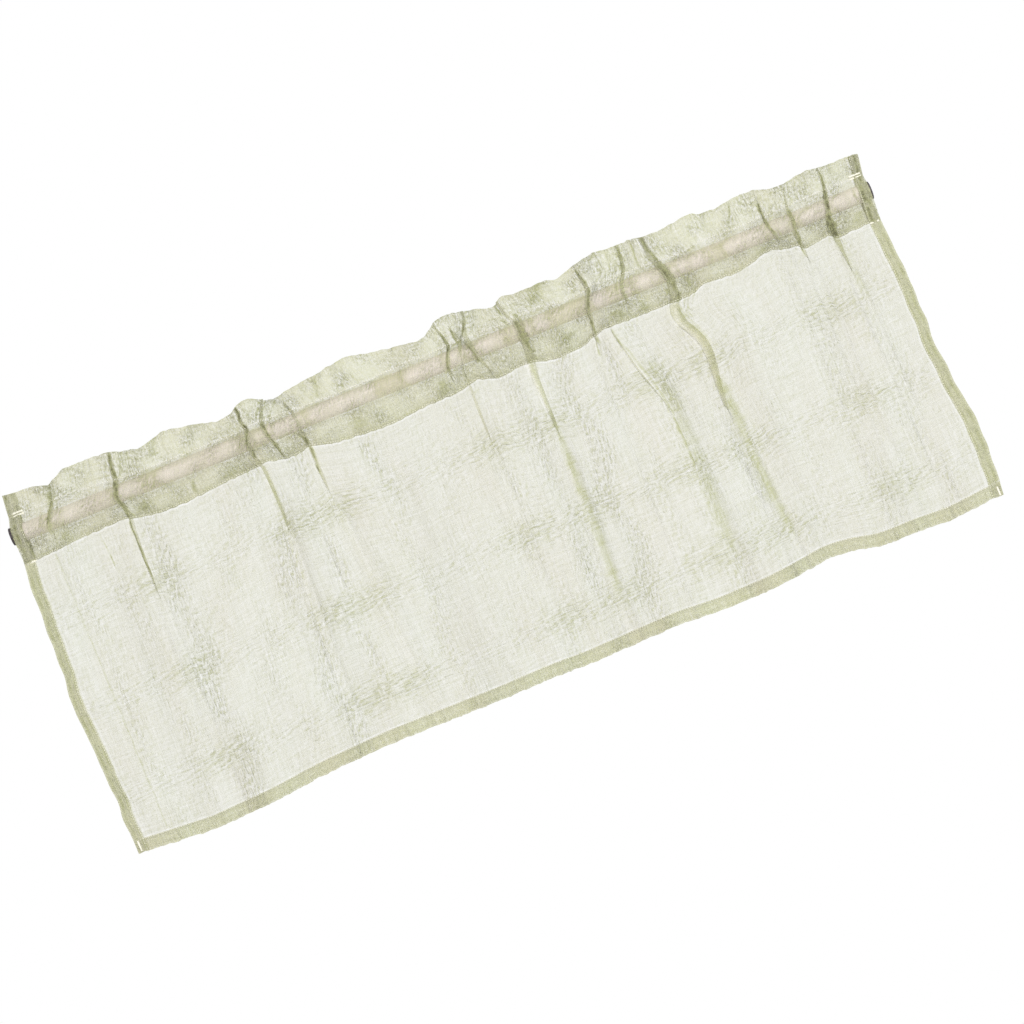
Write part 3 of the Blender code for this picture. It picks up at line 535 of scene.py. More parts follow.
# The rows, along the cut length from the raw edge inside the pocket, up the back, over the header and down
# the front to the raw edge inside the hem: which part of the cloth a row is in, and how far down that part.
# The panel's first and last few millimetres have rows of their own, because the seams draw fine lines there.
PARTS = (
    ("pocket turn", 3), ("pocket back", 7), ("header back", 6), ("header front", 16), ("pocket front", 30),
    ("under seam", 5), ("panel", 44), ("over hem", 4), ("foot front", 4), ("foot back", 3),
        ("foot turn", 3),
)
rows = [(part, k / (count - 1)) for part, count in PARTS for k in range(count)]
rows = [row for k, row in enumerate(rows) if k == 0 or row[1] > 0 or row[0] == "header front"]
row_count, column_count = len(rows), len(columns)
UNDER_SEAM, OVER_HEM = 4.0, 3.6


def lay(z):
    """For heights row by row: the cloth's place along the rod, how far its pleats push it in or out, and
    how far out they stand together."""
    seams = np.array([p["seam"] for p in PLEATS])
    paths = np.array([column_of(p, 1, z) for p in PLEATS])
    bay = np.clip(np.searchsorted(seams, columns, side="right") - 1, 0, len(PLEATS) - 2)
    share = (columns - seams[bay]) / (seams[bay + 1] - seams[bay])
    each = np.arange(column_count)
    x = paths[bay, :, each].T * (1 - share) + paths[bay + 1, :, each].T * share
    lapped = np.zeros_like(z)
    stand = np.zeros_like(z)
    for pleat in PLEATS[1:-1]:
        t = (columns - pleat["seam"]) / pleat["span"]
        swing = 3.494 * t * np.clip(1 - t * t, 0, None) ** 2
        lap = column_of(pleat, 2, z)
        depth = (0.9 + 0.07 * lap) * ease(lap / 2)
        x = x - (lap + 0.894 * pleat["span"] * ease(lap / 2)) / 2 * swing
        lapped += pleat["turn"] * depth * swing
        stand += depth * ease((1.7 - abs(t)) / 0.7)
    return x, lapped, stand


def place_at(height):
    """Where each column is along the rod at one height."""
    return lay(np.full((1, column_count), height))[0][0]


z_top = drawn(HEADER_EDGE, place_at(46.0), 3) + 0.5 * ripples(columns, 0 * columns, 19, 1, 45)
z_header = drawn(HEADER_SEAM, place_at(18.0), 3) + 0.6 * ripples(columns, 0 * columns, 14, 1, 41)
z_pocket = drawn(POCKET_SEAM, place_at(SEAM_HEIGHT), 2) + 0.6 * ripples(columns, 0 * columns, 16, 1, 42)
z_foot = drawn(FOOT_EDGE, place_at(-400.0), 7) + 0.5 * ripples(columns, 0 * columns, 30, 1, 43)
z_turn_top = -11.8 + 0.9 * ripples(columns, 0 * columns, 60, 1, 44)
z_hem = drawn(FOOT_EDGE, place_at(-400.0), 9) + FOOT_HEM
HEIGHTS = {
    "pocket turn": (z_turn_top, z_pocket), "pocket back": (z_pocket, z_header),
    "header back": (z_header, z_top), "header front": (z_top, z_header), "pocket front": (z_header, z_pocket),
    "under seam": (z_pocket, z_pocket - UNDER_SEAM), "panel": (z_pocket - UNDER_SEAM, z_hem + OVER_HEM),
    "over hem": (z_hem + OVER_HEM, z_hem),
    "foot front": (z_hem, z_foot), "foot back": (z_foot, z_hem),
    "foot turn": (z_hem, z_foot + FOOT_HEM - FOOT_TURN),
}
z = np.array([HEIGHTS[part][0] * (1 - t) + HEIGHTS[part][1] * t for part, t in rows])
part_of_row = np.array([part for part, _ in rows])
seam_place = np.broadcast_to(columns, z.shape)

x, lapped, stand = lay(z)

# The open folds, and the lines and hollows.
sink = np.zeros_like(z)
for crease in CREASES:
    high, low = crease["path"][0][0], crease["path"][-1][0]
    inside = ease((high + 6 - z) / 6)
    if low > -390:
        inside = inside * ease((z - low + 6) / 6)
    sink += column_of(crease, 2, z) * np.exp(-((x - column_of(crease, 1, z)) / crease["width"]) ** 2) * inside

shade = np.zeros_like(z)
gleam = np.zeros_like(z)
unsteady = 0.7 * ripples(z, x, 26, 9.0, 61)
# Each line adds painted shade, or under 0 a painted highlight, to the shade and gleam measures.
for name, strength, path in SHADE_AND_HIGHLIGHT_LINES:
    wide = drawn([(point[0], point[2]) for point in path], z, 2) * (0.92 + 0.28 * ripples(z, x, 17, 9.0, 62))
    bell = np.exp(-abs((x + unsteady - drawn(path, z, 2)) / wide) ** 2.4)
    bell *= np.clip(0.86 + 0.3 * ripples(z, x, 12, 9.0, 63), 0.4, 1)
    bell *= ease((path[0][0] + 1.5 - z) / 2) * ease((z - path[-1][0] + 1.5) / 2)
    if strength > 0:
        shade = np.maximum(shade, strength * bell)
        # Beside the darkest narrow lines a painted highlight runs along the rim.
        if strength >= 0.6:
            beside = abs(x + unsteady - drawn(path, z, 2)) / wide - 2.0
            rim = np.exp(-(beside / 0.7) ** 2) * ease((path[0][0] - z) / 2) * ease((z - path[-1][0]) / 2)
            gleam = np.maximum(gleam, 0.5 * rim * (wide < 2.6))
    else:
        gleam = np.maximum(gleam, -strength * bell)

# The header ruffles more towards its edge, the pocket wraps the rod, and the panel hangs from both.
rise = np.clip((z - z_header) / (z_top - z_header), 0, 1)
ruffle = 3.2 * ripples(x, z, 78, 2.0, 3) + 2.2 * ripples(x, z, 33, 1.6, 5) + 0.9 * ripples(x, z, 13, 1.2, 8)
down = np.clip((z_header - z) / (z_header - z_pocket), 0, 1)
radius = ROD_RADIUS + ON_ROD
tangent_top = radius ** 2 / z_header
tangent_low = radius ** 2 / z_pocket
arc = np.sqrt(np.clip(radius ** 2 - z ** 2, 0, None))
upper = np.sqrt(radius ** 2 - tangent_top ** 2) * (z_header - z) / (z_header - tangent_top)
lower = np.sqrt(radius ** 2 - tangent_low ** 2) * (z - z_pocket) / (tangent_low - z_pocket)
wrap = np.where(z > tangent_top, upper, np.where(z < tangent_low, lower, arc))
belly = np.sin(math.pi * down) ** 0.7
slack = 1.4 + 1.0 * ripples(x, z, 64, 3.0, 11) + 0.9 * ripples(x, z, 22, 1.5, 12)
slack += 0.4 * ripples(x, z, 10, 1.2, 13)
puffed = np.clip(slack, 0.1, None) * belly
on_front = (part_of_row == "pocket front")[:, None]
for place, height, size, out in PUFFS:
    reach = np.sqrt(((x - place) / size) ** 2 + ((z - height) / 10.5) ** 2)
    reach += 0.12 * ripples(x, z, 11, 1.0, place)
    puffed += out * np.exp(-reach ** 4) * belly
    # Painted shade rings the left side of each puff, and a painted highlight lies over its middle.
    rim = 0.36 * np.exp(-((reach - 1.1) / 0.13) ** 2) * on_front
    shade = np.maximum(shade, rim * (x < place + 0.4 * size))
    gleam = np.maximum(gleam, 0.3 * np.exp(-(reach / 0.85) ** 4) * on_front)

# Painted shade lies over the rod wherever the cloth stands off it.
off_stretch = np.ones_like(z)
for first, last in ON_THE_ROD:
    drift = x + 2.5 * ripples(z, x, 15, 2.0, 81)
    off_stretch *= 1 - ease((drift - first + 3) / 6) * ease((last + 3 - drift) / 6)
over_rod = ease((13.5 - abs(z)) / 3) * on_front
shade = np.maximum(shade, 0.2 * off_stretch * over_rod)

hang = ease((SEAM_HEIGHT - z) / 90)
billow = 2.2 * ripples(x, z, 260, 1.6, 21) + 0.8 * ripples(x, z, 90, 2.2, 22)
billow = hang * (billow + 0.3 * ripples(x, z, 30, 4.0, 23))
packet = sum(np.exp(-((z - height) / 3.0) ** 2) for height in PACKET_CREASES)

double = HEADER_GAP / 2 + np.where(behind > 0, 1.2, 0.0)
off_rod = stand * ease(down / 0.15) * ease((1 - down) / 0.15)
into_rod = np.where(sink > 0, sink * (1 - 0.8 * belly), sink)
thin_edge = np.minimum(1, 0.25 + 3 * (1 - rise))
FORMS = {
    "header front": rise ** 0.8 * ruffle + sink + lapped - double * thin_edge,
    "header back": rise ** 0.8 * ruffle + sink + lapped + double * thin_edge,
    "pocket front": lapped + into_rod - wrap - puffed - double - off_rod,
    "pocket back": lapped + sink * down ** 4 + wrap + 0.8 * puffed + double + off_rod,
    "pocket turn": lapped + sink * down ** 4 + wrap + 0.8 * puffed + double + off_rod - LAYER_GAP,
    "panel": sink + lapped + billow - 0.7 * packet - double * np.exp((z - z_pocket) / 8.0),
}
FORMS["under seam"] = FORMS["over hem"] = FORMS["panel"]
for part, layers in (("foot front", 0), ("foot back", 2), ("foot turn", 1)):
    FORMS[part] = sink + lapped + billow - 0.7 * packet + layers * LAYER_GAP
y = np.empty_like(z)
for part, form in FORMS.items():
    y[part_of_row == part] = form[part_of_row == part]

# The side turns lie behind the front of the curtain, and inside the turned heading.
wrong_side = np.where(np.isin(part_of_row, ("pocket turn", "pocket back", "header back")), -1.0, 1.0)[:, None]
y = y + wrong_side * behind * LAYER_GAP

# Sewing draws small puckers along each seam and hem.
near_seam = np.exp(-((z - z_pocket) / 6.0) ** 2) + np.exp(-((z - z_header) / 5.0) ** 2)
near_hem = np.exp(-((z - z_hem) / 8.0) ** 2) + 0.6 * np.exp(-((z - z_foot) / 9.0) ** 2)
y += (near_seam + near_hem) * 0.5 * ripples(seam_place, z, 9.5, 9.0, 31)
in_from_edge = np.minimum(seam_place - left_edge, right_edge - seam_place)
edge_wave = np.exp(-(in_from_edge / 30.0) ** 2) * ripples(z, seam_place, 60, 9.0, 34)
x = x + 0.9 * edge_wave * ease((SEAM_HEIGHT - z) / 40)
y += 0.5 * np.exp(-((in_from_edge - SIDE_HEM) / 6.0) ** 2) * ripples(z, seam_place, 11.0, 9.0, 32)
z = z + 0.35 * np.exp(-((z - z_foot) / 6.0) ** 2) * ripples(seam_place, z, 11, 9.0, 33)

# How crumpled the cloth is: across, along its warp, and where it is gathered. lift opens or closes the weave.
crumple = sum(np.exp(-((z - height) / 17.0) ** 2) for height in PACKET_CREASES)
spots = sum(np.exp(-((x - place) / 32.0) ** 2) for place in CRUMPLED)
across = np.clip(0.2 + crumple * (0.4 + 0.6 * spots), 0, 1)
warp = sum(strong * np.exp(-((x - place) / wide) ** 2) for place, wide, strong in WARP_BANDS)
warp = np.clip((0.3 + 0.8 * warp) * (0.75 + 0.5 * ripples(x, z, 70, 1.0, 51)), 0.1, 1)
gathered = np.max([np.exp(-((x - column_of(p, 1, z)) / 22.0) ** 2) for p in PLEATS[1:-1]], axis=0)
heading = np.clip(0.5 + 0.7 * ripples(x, z, 60, 0.6, 52) + 0.6 * gathered, 0.15, 1.4)
heading = ease((z - z_pocket + 2) / 4) * heading
lift = ease((z - z_pocket + 1) / 2) * (1 - 0.33 * ease((z - z_header + 2) / 4))
lift += 0.5 * ease((z_hem + 1 - z) / 2) - 0.6 * ease((SIDE_HEM + 1 - in_from_edge) / 2)

# Where the cloth lies double or laps over itself it reads greener, but less so where it lies on the rod.
doubled = np.maximum(ease((z - z_pocket + 1) / 2), ease((z_hem + 1 - z) / 2))
doubled = np.maximum(doubled, ease((SIDE_HEM + 1 - in_from_edge) / 2)) - 0.5 * (1 - off_stretch) * over_rod
for pleat in PLEATS[1:-1]:
    lap = column_of(pleat, 2, z)
    lapping = ease((lap / 2 + 0.8 - abs(x - column_of(pleat, 1, z))) / 1.2) * ease(lap / 4)
    lift += (0.3 + 0.3 * ease((z_pocket - z) / 2)) * lapping
    doubled = np.maximum(doubled, lapping)

# The foot and the side hems are a little crumpled too.
heading = np.maximum(heading, 0.6 * np.exp(-((z - z_foot) / 12.0) ** 2))
heading = np.maximum(heading, 0.6 * np.exp(-((in_from_edge - 6) / 8.0) ** 4))

# A light line runs along the header, under the pocket and beside the hems: the needle opens the weave along a
# seam, and the thinner weave drawn there also stands in for a painted highlight where the stitching catches
# the light.
# Fine lines of painted shade run just inside the pocket, over its lower seam and under the header seam, a
# painted shadow runs where the cloth leaves the rod, and darker lines run down the side hems where the turned
# layers end.
hanging = np.isin(part_of_row, ("under seam", "panel", "over hem"))[:, None]
seam_light = np.exp(-((z - z_pocket + 1.3) / 0.9) ** 2) * (0.75 + 0.35 * ripples(x, z, 40, 9.0, 71))
over_foot = 0.8 * np.exp(-((z - z_hem - 1.2) / 0.9) ** 2) * (0.7 + 0.4 * ripples(x, z, 30, 9.0, 72))
seam_light = np.maximum(seam_light, over_foot)
beside_hem = 0.9 * np.exp(-((in_from_edge - SIDE_HEM - 1.2) / 0.9) ** 2) * (behind == 0)
seam_light = np.maximum(seam_light * hanging, beside_hem * (hanging | on_front))
header_line = 0.5 * np.exp(-((z - z_header) / 1.2) ** 2) * (0.6 + 0.5 * ripples(x, z, 45, 9.0, 74))
seam_light = np.clip(np.maximum(seam_light, header_line), 0, 1)
# Painted shadow along the rod's lower edge, where the cloth leaves it.
rod_edge_shadow = np.exp(-((z + 12.4) / 1.1) ** 2) * np.clip(0.6 + 0.5 * ripples(x, z, 50, 9.0, 73), 0, 1)
over_seam = 0.4 * np.exp(-((z - z_pocket - 2.0) / 1.3) ** 2)
below_header = 0.36 * np.exp(-((z - z_header + 2.4) / 1.4) ** 2)
pocket_shade_lines = over_seam * np.clip(0.55 + 0.6 * ripples(x, z, 36, 9.0, 75), 0, 1)
pocket_shade_lines += below_header * np.clip(0.5 + 0.6 * ripples(x, z, 42, 9.0, 76), 0, 1)
shade = np.maximum(shade, np.maximum(0.36 * rod_edge_shadow, pocket_shade_lines) * on_front)
hem_lines = 0.56 * np.exp(-((in_from_edge - 12.0) / 1.2) ** 2)
hem_lines += 0.5 * np.exp(-((in_from_edge - 4.2) / 1.3) ** 2)
shade = np.maximum(shade, hem_lines * np.clip(0.55 + 0.6 * ripples(z, x, 38, 9.0, 77), 0, 1) * (behind == 0))
shade = np.clip(np.maximum(shade, 0.14 * crumple * spots), 0, 1)
gleam = gleam * (1 - shade)

points = np.stack([x, y, z], axis=-1).reshape(-1, 3) * MM
mesh = bpy.data.meshes.new("curtain_cloth")
corner = np.arange(row_count * column_count).reshape(row_count, column_count)
quads = np.stack([corner[:-1, :-1], corner[1:, :-1], corner[1:, 1:], corner[:-1, 1:]], axis=-1).reshape(-1, 4)
mesh.from_pydata(points.tolist(), [], quads.tolist())
cloth = bpy.data.objects.new("curtain_cloth", mesh)
bpy.context.collection.objects.link(cloth)
mesh.shade_smooth()
mesh.set_sharp_from_angle(angle=math.radians(50))

# The map is the flat cut in metres, so that the weave keeps its size in every fold.
grid = points.reshape(row_count, column_count, 3)
flat_u = np.concatenate([[0], np.cumsum(np.linalg.norm(np.diff(grid, axis=1), axis=2).mean(axis=0))])
flat_v = np.concatenate([[0], np.cumsum(np.linalg.norm(np.diff(grid, axis=0), axis=2).mean(axis=1))])
uv = np.stack(np.broadcast_arrays(flat_u[None, :], -flat_v[:, None]), axis=-1).reshape(-1, 2)
layer = mesh.uv_layers.new(name="cut_cloth")
loops = np.empty(len(mesh.loops), int)
mesh.loops.foreach_get("vertex_index", loops)
layer.data.foreach_set("uv", uv[loops].ravel().astype(np.float32))

# Where the cloth turns away from the front it shows more thread for its width, and reads denser.
normals = np.empty(len(points) * 3, np.float32)
mesh.vertices.foreach_get("normal", normals)
slant = 1 / np.clip(abs(normals.reshape(row_count, column_count, 3)[:, :, 1]), 0.6, 1)
slant[:, (behind > 0) | (in_from_edge[0] < 2)] = 1
MEASURES = {
    "shade": shade, "gleam": gleam, "heading": heading, "warp": warp, "across": across, "slant": slant,
    "lift": lift, "seam_light": seam_light, "doubled": doubled,
}
for name, values in MEASURES.items():
    mesh.attributes.new(name, "FLOAT", "POINT").data.foreach_set("value", values.ravel().astype(np.float32))
print("cut cloth, m:", round(flat_u[-1], 3), round(flat_v[-1], 3), "triangles", 2 * len(quads))

# Sheer slubby voile in a dry sage: crisp spun yarn, matt, with uneven threads and open spaces between them,
# so one layer lets most of the light through and each further layer reads denser and greener. The threads
# are drawn 1.2 mm apart, some three times the real pitch, because finer ones wouldn't show.
voile, tree, output = new_material("slub_voile_sage")
THREAD = 1.2 * MM
SLUB_LENGTH = 30 * MM
SLUB = 2.8 * MM
cut = add_node(tree, "ShaderNodeUVMap", uv_map="cut_cloth").outputs["UV"]
measured = {}
for name in MEASURES:
    measured[name] = add_node(tree, "ShaderNodeAttribute", attribute_name=name).outputs["Fac"]


def cloth_noise(across_size, down_size, seed, detail=3.0, distortion=0.0):
    """Noise on the flat cut, its marks so wide and so long, about 0 to 1."""
    run = add_node(tree, "ShaderNodeMapping", {
        "Vector": cut, "Location": (seed, -seed, 0), "Scale": (1 / across_size, 1 / down_size, 1),
    })
    return add_node(tree, "ShaderNodeTexNoise", {
        "Vector": run.outputs["Vector"], "Scale": 1.0, "Detail": detail, "Roughness": 0.55,
        "Distortion": distortion,
    }).outputs["Fac"]


def crossed(width, length, seed, other_seed, detail):
    """Marks that run with the warp and marks that run with the weft, added up: about 0 to 2."""
    with_warp = cloth_noise(width, length, seed, detail)
    with_weft = cloth_noise(length, width, other_seed, detail)
    return add_node(tree, "ShaderNodeMath", {0: with_warp, 1: with_weft}, operation="ADD").outputs["Value"]


def pressed(across_size, down_size, seed, distortion, measure, gain):
    """Crumpled marks on the flat cut, open on one side and dense on the other, as strong as a measure says."""
    here = cloth_noise(across_size, down_size, seed, 2.0, distortion)
    beside = cloth_noise(across_size, down_size, seed + 0.4, 2.0, distortion)
    marks = add_node(tree, "ShaderNodeMath", {0: here, 1: beside}, operation="SUBTRACT").outputs["Value"]
    much = add_node(tree, "ShaderNodeMath", {0: measured[measure], 1: gain}, operation="MULTIPLY")
    return add_node(tree, "ShaderNodeMath", {0: marks, 1: much.outputs["Value"]}, operation="MULTIPLY")


weave = crossed(THREAD, SLUB_LENGTH, 1.3, 7.7, 3.0)
slubs = crossed(SLUB, 2 * SLUB_LENGTH, 4.3, 8.9, 2.0)
streaks = cloth_noise(2.4 * MM, 240 * MM, 3.1, 2.0)
broad = cloth_noise(50 * MM, 160 * MM, 2.6, 2.0)
relief = 0.0
for marks in (
    pressed(2.9 * MM, 5.2 * MM, 5.2, 0.9, "heading", 1.15),
    pressed(2.9 * MM, 8.0 * MM, 9.4, 0.8, "warp", 1.0),
    pressed(12.0 * MM, 2.9 * MM, 11.9, 0.6, "across", 1.0),
):
    summed = add_node(tree, "ShaderNodeMath", {0: marks.outputs["Value"], 1: relief}, operation="ADD")
    relief = summed.outputs["Value"]

# How much of the light the threads stop. Each mark adds its gain times what it is over its middle value.
# Painted shade makes the weave denser here, and painted highlights make it thinner.
shade_less_highlight = add_node(
    tree, "ShaderNodeMath", {0: measured["gleam"], 1: -0.6, 2: measured["shade"]}, operation="MULTIPLY_ADD",
).outputs["Value"]
cover = 0.7
for marks, middle, gain in (
    (weave, 1.0, 0.45), (slubs, 1.0, 0.45), (streaks, 0.5, 0.25), (broad, 0.5, 0.3), (relief, 0.0, 1.2),
    (measured["warp"], 0.4, 0.07), (measured["lift"], 0.0, -0.285), (shade_less_highlight, 0.0, 0.4),
    (measured["seam_light"], 0.0, -0.45),
):
    over = add_node(tree, "ShaderNodeMath", {0: marks, 1: middle}, operation="SUBTRACT").outputs["Value"]
    summed = add_node(tree, "ShaderNodeMath", {0: over, 1: gain, 2: cover}, operation="MULTIPLY_ADD")
    cover = summed.outputs["Value"]
cover = add_node(tree, "ShaderNodeClamp", {"Value": cover, "Min": 0.2, "Max": 0.96}).outputs["Result"]
open_share = add_node(tree, "ShaderNodeMath", {0: 1.0, 1: cover}, operation="SUBTRACT").outputs["Value"]
open_share = add_node(
    tree, "ShaderNodeMath", {0: open_share, 1: measured["slant"]}, operation="POWER",
).outputs["Value"]
cover = add_node(tree, "ShaderNodeMath", {0: 1.0, 1: open_share}, operation="SUBTRACT").outputs["Value"]

# The yarn's tone: cooler in one layer, warmer in more, and greener where it is dense. Painted shade turns it
# greener, and brown in the deepest lines, and a painted highlight turns it cream where an edge catches the
# light.
single, layered = (
    add_node(
        tree, "ShaderNodeMix", {"Factor": broad, "A": linear(one), "B": linear(other)}, data_type="RGBA",
    ).outputs["Result"]
    for one, other in (("#DBDFCB", "#E2DDCE"), ("#E2E6C6", "#E8E3CA"))
)
dense, painted_shade_green, painted_shade_brown = (
    add_node(tree, "ShaderNodeMapRange", {"Value": value, **limits}).outputs["Result"]
    for value, limits in (
        (relief, {"From Max": 0.3, "To Max": 0.5}), (measured["shade"], {"From Max": 0.42, "To Max": 0.75}),
        (measured["shade"], {"From Min": 0.42, "To Max": 0.8}),
    )
)
glint = add_node(tree, "ShaderNodeMath", {0: measured["gleam"], 1: 0.7}, operation="MULTIPLY")
tone = single
for factor, other in (
    (measured["doubled"], layered), (dense, linear("#C9CC98")), (painted_shade_green, linear("#C1C48E")),
    (painted_shade_brown, linear("#564E34")), (glint.outputs["Value"], linear("#FBF8EA")),
):
    tone = add_node(
        tree, "ShaderNodeMix", {"Factor": factor, "A": tone, "B": other}, data_type="RGBA",
    ).outputs["Result"]
height = add_node(tree, "ShaderNodeMath", {0: relief, 1: 3.0, 2: weave}, operation="MULTIPLY_ADD")
bumped = add_node(tree, "ShaderNodeBump", {
    "Height": height.outputs["Value"], "Strength": 1.0, "Distance": 0.8 * MM,
}).outputs["Normal"]
face_shader = add_node(tree, "ShaderNodeBsdfPrincipled", {
    "Base Color": tone, "Roughness": 0.85, "Sheen Weight": 0.15, "Sheen Roughness": 0.5, "Normal": bumped,
})
through = add_node(tree, "ShaderNodeBsdfTranslucent", {"Color": tone, "Normal": bumped})
fabric = add_node(tree, "ShaderNodeMixShader", {
    0: 0.3, 1: face_shader.outputs["BSDF"], 2: through.outputs["BSDF"],
})
gaps = add_node(tree, "ShaderNodeBsdfTransparent")
sheer = add_node(tree, "ShaderNodeMixShader", {
    0: cover, 1: gaps.outputs["BSDF"], 2: fabric.outputs["Shader"],
})
tree.links.new(sheer.outputs["Shader"], output.inputs["Surface"])
mesh.materials.append(voile)

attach(cloth, "root")
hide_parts("curtain")

# The stitching
# Lockstitch in cream spun polyester thread: under the pocket, along the header, down both side hems and
# along the foot, with a thick bar tack at each corner of the heading and of the foot. The stitches are
# drawn 3.2 mm apart and 0.6 mm thick, about twice the real thread, because finer ones wouldn't show.
SKIN = 0.15 * MM
start_of = {part: int(np.argmax(part_of_row == part)) for part, _ in PARTS}


def across_at(part, height, side):
    """Points along a row of the cloth at a height, on its front (-1) or back (1), over the pleats' tops.

    The side turns are left out, and so is the part of each pleat that lies under its top layer."""
    first = max(start_of[part] - 1, 0)
    last = start_of[part] + int((part_of_row == part).sum()) - 1
    strip = grid[first:last + 1]
    found = []
    for k in range(column_count):
        near = [p for p in PLEATS[1:-1] if abs(columns[k] - p["seam"]) < p["span"]]
        t = [(columns[k] - p["seam"]) / p["span"] * p["turn"] for p in near]
        if behind[k] > 0 or not 3 < in_from_edge[0][k] or (t and 0.45 * side < -side * t[0] < 0.75):
            continue
        zs = strip[:, k, 2]
        order = np.argsort(zs)
        at = [np.interp(height[k] * MM, zs[order], strip[order, k, axis]) for axis in (0, 1)]
        if not found or at[0] > found[-1][0] + 0.2 * MM:
            found.append((at[0], at[1] + side * SKIN, height[k] * MM))
    return found


def down_at(inset, end, side, parts):
    """Points down the cloth at a distance in from its left (0) or right (1) edge."""
    place = left_edge + inset if end == 0 else right_edge - inset
    k = int(np.argmin(abs(face - place))) + len(side_in)
    pick = np.isin(part_of_row, parts)
    off = -SKIN if side < 0 else SKIN + 2.2 * LAYER_GAP * MM
    return [(p[0], p[1] + off, p[2]) for p in grid[pick, k]]


FRONT_PARTS = ("header front", "pocket front", "under seam", "panel", "over hem", "foot front")
RUNS = [
    across_at("header front", z_header + 0.4, -1), across_at("header back", z_header + 0.4, 1),
    across_at("pocket front", z_pocket + 1.6, -1), across_at("pocket back", z_pocket + 1.6, 1),
    across_at("foot front", z_hem - 0.6, -1), across_at("foot back", z_hem - 1.4, 1),
    down_at(SIDE_HEM - 1.2, 0, -1, FRONT_PARTS), down_at(SIDE_HEM - 1.2, 1, -1, FRONT_PARTS),
    down_at(SIDE_HEM - 1.2, 0, 1, ("panel",)), down_at(SIDE_HEM - 1.2, 1, 1, ("panel",)),
]
TACKS = (
    ((-543, 24.9), (-530, 24.9)), ((536, 23.9), (549, 23.9)), ((-543, 21.5), (-530, 21.5)),
    ((-549, -37), (-537, -37)), ((536, 20.5), (549, 20.5)), ((539, -37), (549, -37)),
    ((-550.5, -394), (-550, -406)), ((561, -386), (561, -396)),
)


def front_of(place, height):
    """The front of the cloth at one place and height."""
    flat = grid[np.isin(part_of_row, FRONT_PARTS)][:, behind == 0].reshape(-1, 3)
    near = flat[np.argmin((flat[:, 0] - place * MM) ** 2 + (flat[:, 2] - height * MM) ** 2)]
    return (place * MM, near[1] - 2 * SKIN, height * MM)


BARS = []
for (x0, z0), (x1, z1) in TACKS:
    BARS.append([front_of(x0 + (x1 - x0) * t, z0 + (z1 - z0) * t) for t in np.linspace(0, 1, 9)])

# The tree lays stitches along a curve: a small bead is stretched to a stitch and set at every pitch.
stitcher = bpy.data.node_groups.new("stitcher", "GeometryNodeTree")
for name, kind, value in (
    ("Curve", "NodeSocketGeometry", None), ("Pitch", "NodeSocketFloat", 3.2 * MM),
    ("Length", "NodeSocketFloat", 2.6 * MM), ("Width", "NodeSocketFloat", 0.6 * MM),
    ("Seed", "NodeSocketInt", 4), ("Thread", "NodeSocketMaterial", None),
):
    socket = stitcher.interface.new_socket(name, in_out="INPUT", socket_type=kind)
    if value is not None:
        socket.default_value = value
stitcher.interface.new_socket("Stitches", in_out="OUTPUT", socket_type="NodeSocketGeometry")
given = stitcher.nodes.new("NodeGroupInput").outputs
spaced = add_node(
    stitcher, "GeometryNodeResampleCurve", {"Curve": given["Curve"], "Length": given["Pitch"]}, mode="LENGTH",
)
along = add_node(stitcher, "GeometryNodeInputTangent").outputs["Tangent"]
turn = add_node(stitcher, "FunctionNodeAlignRotationToVector", {"Vector": along}, axis="X")
bead = add_node(stitcher, "GeometryNodeMeshUVSphere", {"Segments": 6, "Rings": 4, "Radius": 0.5})
bead = add_node(stitcher, "GeometryNodeSetShadeSmooth", {"Geometry": bead.outputs["Mesh"]})
uneven = add_node(
    stitcher, "FunctionNodeRandomValue", {2: 0.8, 3: 1.2, "Seed": given["Seed"]}, data_type="FLOAT",
).outputs[1]
thin, long = (
    add_node(stitcher, "ShaderNodeMath", {0: given[size], 1: uneven}, operation="MULTIPLY").outputs["Value"]
    for size in ("Width", "Length")
)
pressed_in = add_node(stitcher, "ShaderNodeMath", {0: thin, 1: 0.45}, operation="MULTIPLY")
shape = add_node(stitcher, "ShaderNodeCombineXYZ", {"X": long, "Y": pressed_in.outputs["Value"], "Z": thin})
laid = add_node(stitcher, "GeometryNodeInstanceOnPoints", {
    "Points": spaced.outputs["Curve"], "Instance": bead.outputs["Geometry"],
    "Rotation": turn.outputs["Rotation"], "Scale": shape.outputs["Vector"],
})
real = add_node(stitcher, "GeometryNodeRealizeInstances", {"Geometry": laid.outputs["Instances"]})
sewn = add_node(stitcher, "GeometryNodeSetMaterial", {
    "Geometry": real.outputs["Geometry"], "Material": given["Thread"],
})
result = stitcher.nodes.new("NodeGroupOutput")
stitcher.links.new(sewn.outputs["Geometry"], result.inputs["Stitches"])

# Cream spun polyester: soft, a little silky, with its twist drawn as fine bands along the thread.
thread, tree, output = new_material("spun_polyester_cream")
place = add_node(tree, "ShaderNodeTexCoord").outputs["Object"]
TWIST = 0.9 * MM
twist = add_node(tree, "ShaderNodeTexNoise", {"Vector": place, "Scale": 1 / TWIST, "Detail": 2.0})
tone = add_node(
    tree, "ShaderNodeMix", {"Factor": twist.outputs["Fac"], "A": linear("#F3EFDA"), "B": linear("#FFFCF0")},
    data_type="RGBA",
)
shader = add_node(tree, "ShaderNodeBsdfPrincipled", {
    "Base Color": tone.outputs["Result"], "Roughness": 0.55, "Sheen Weight": 0.2,
})
tree.links.new(shader.outputs["BSDF"], output.inputs["Surface"])


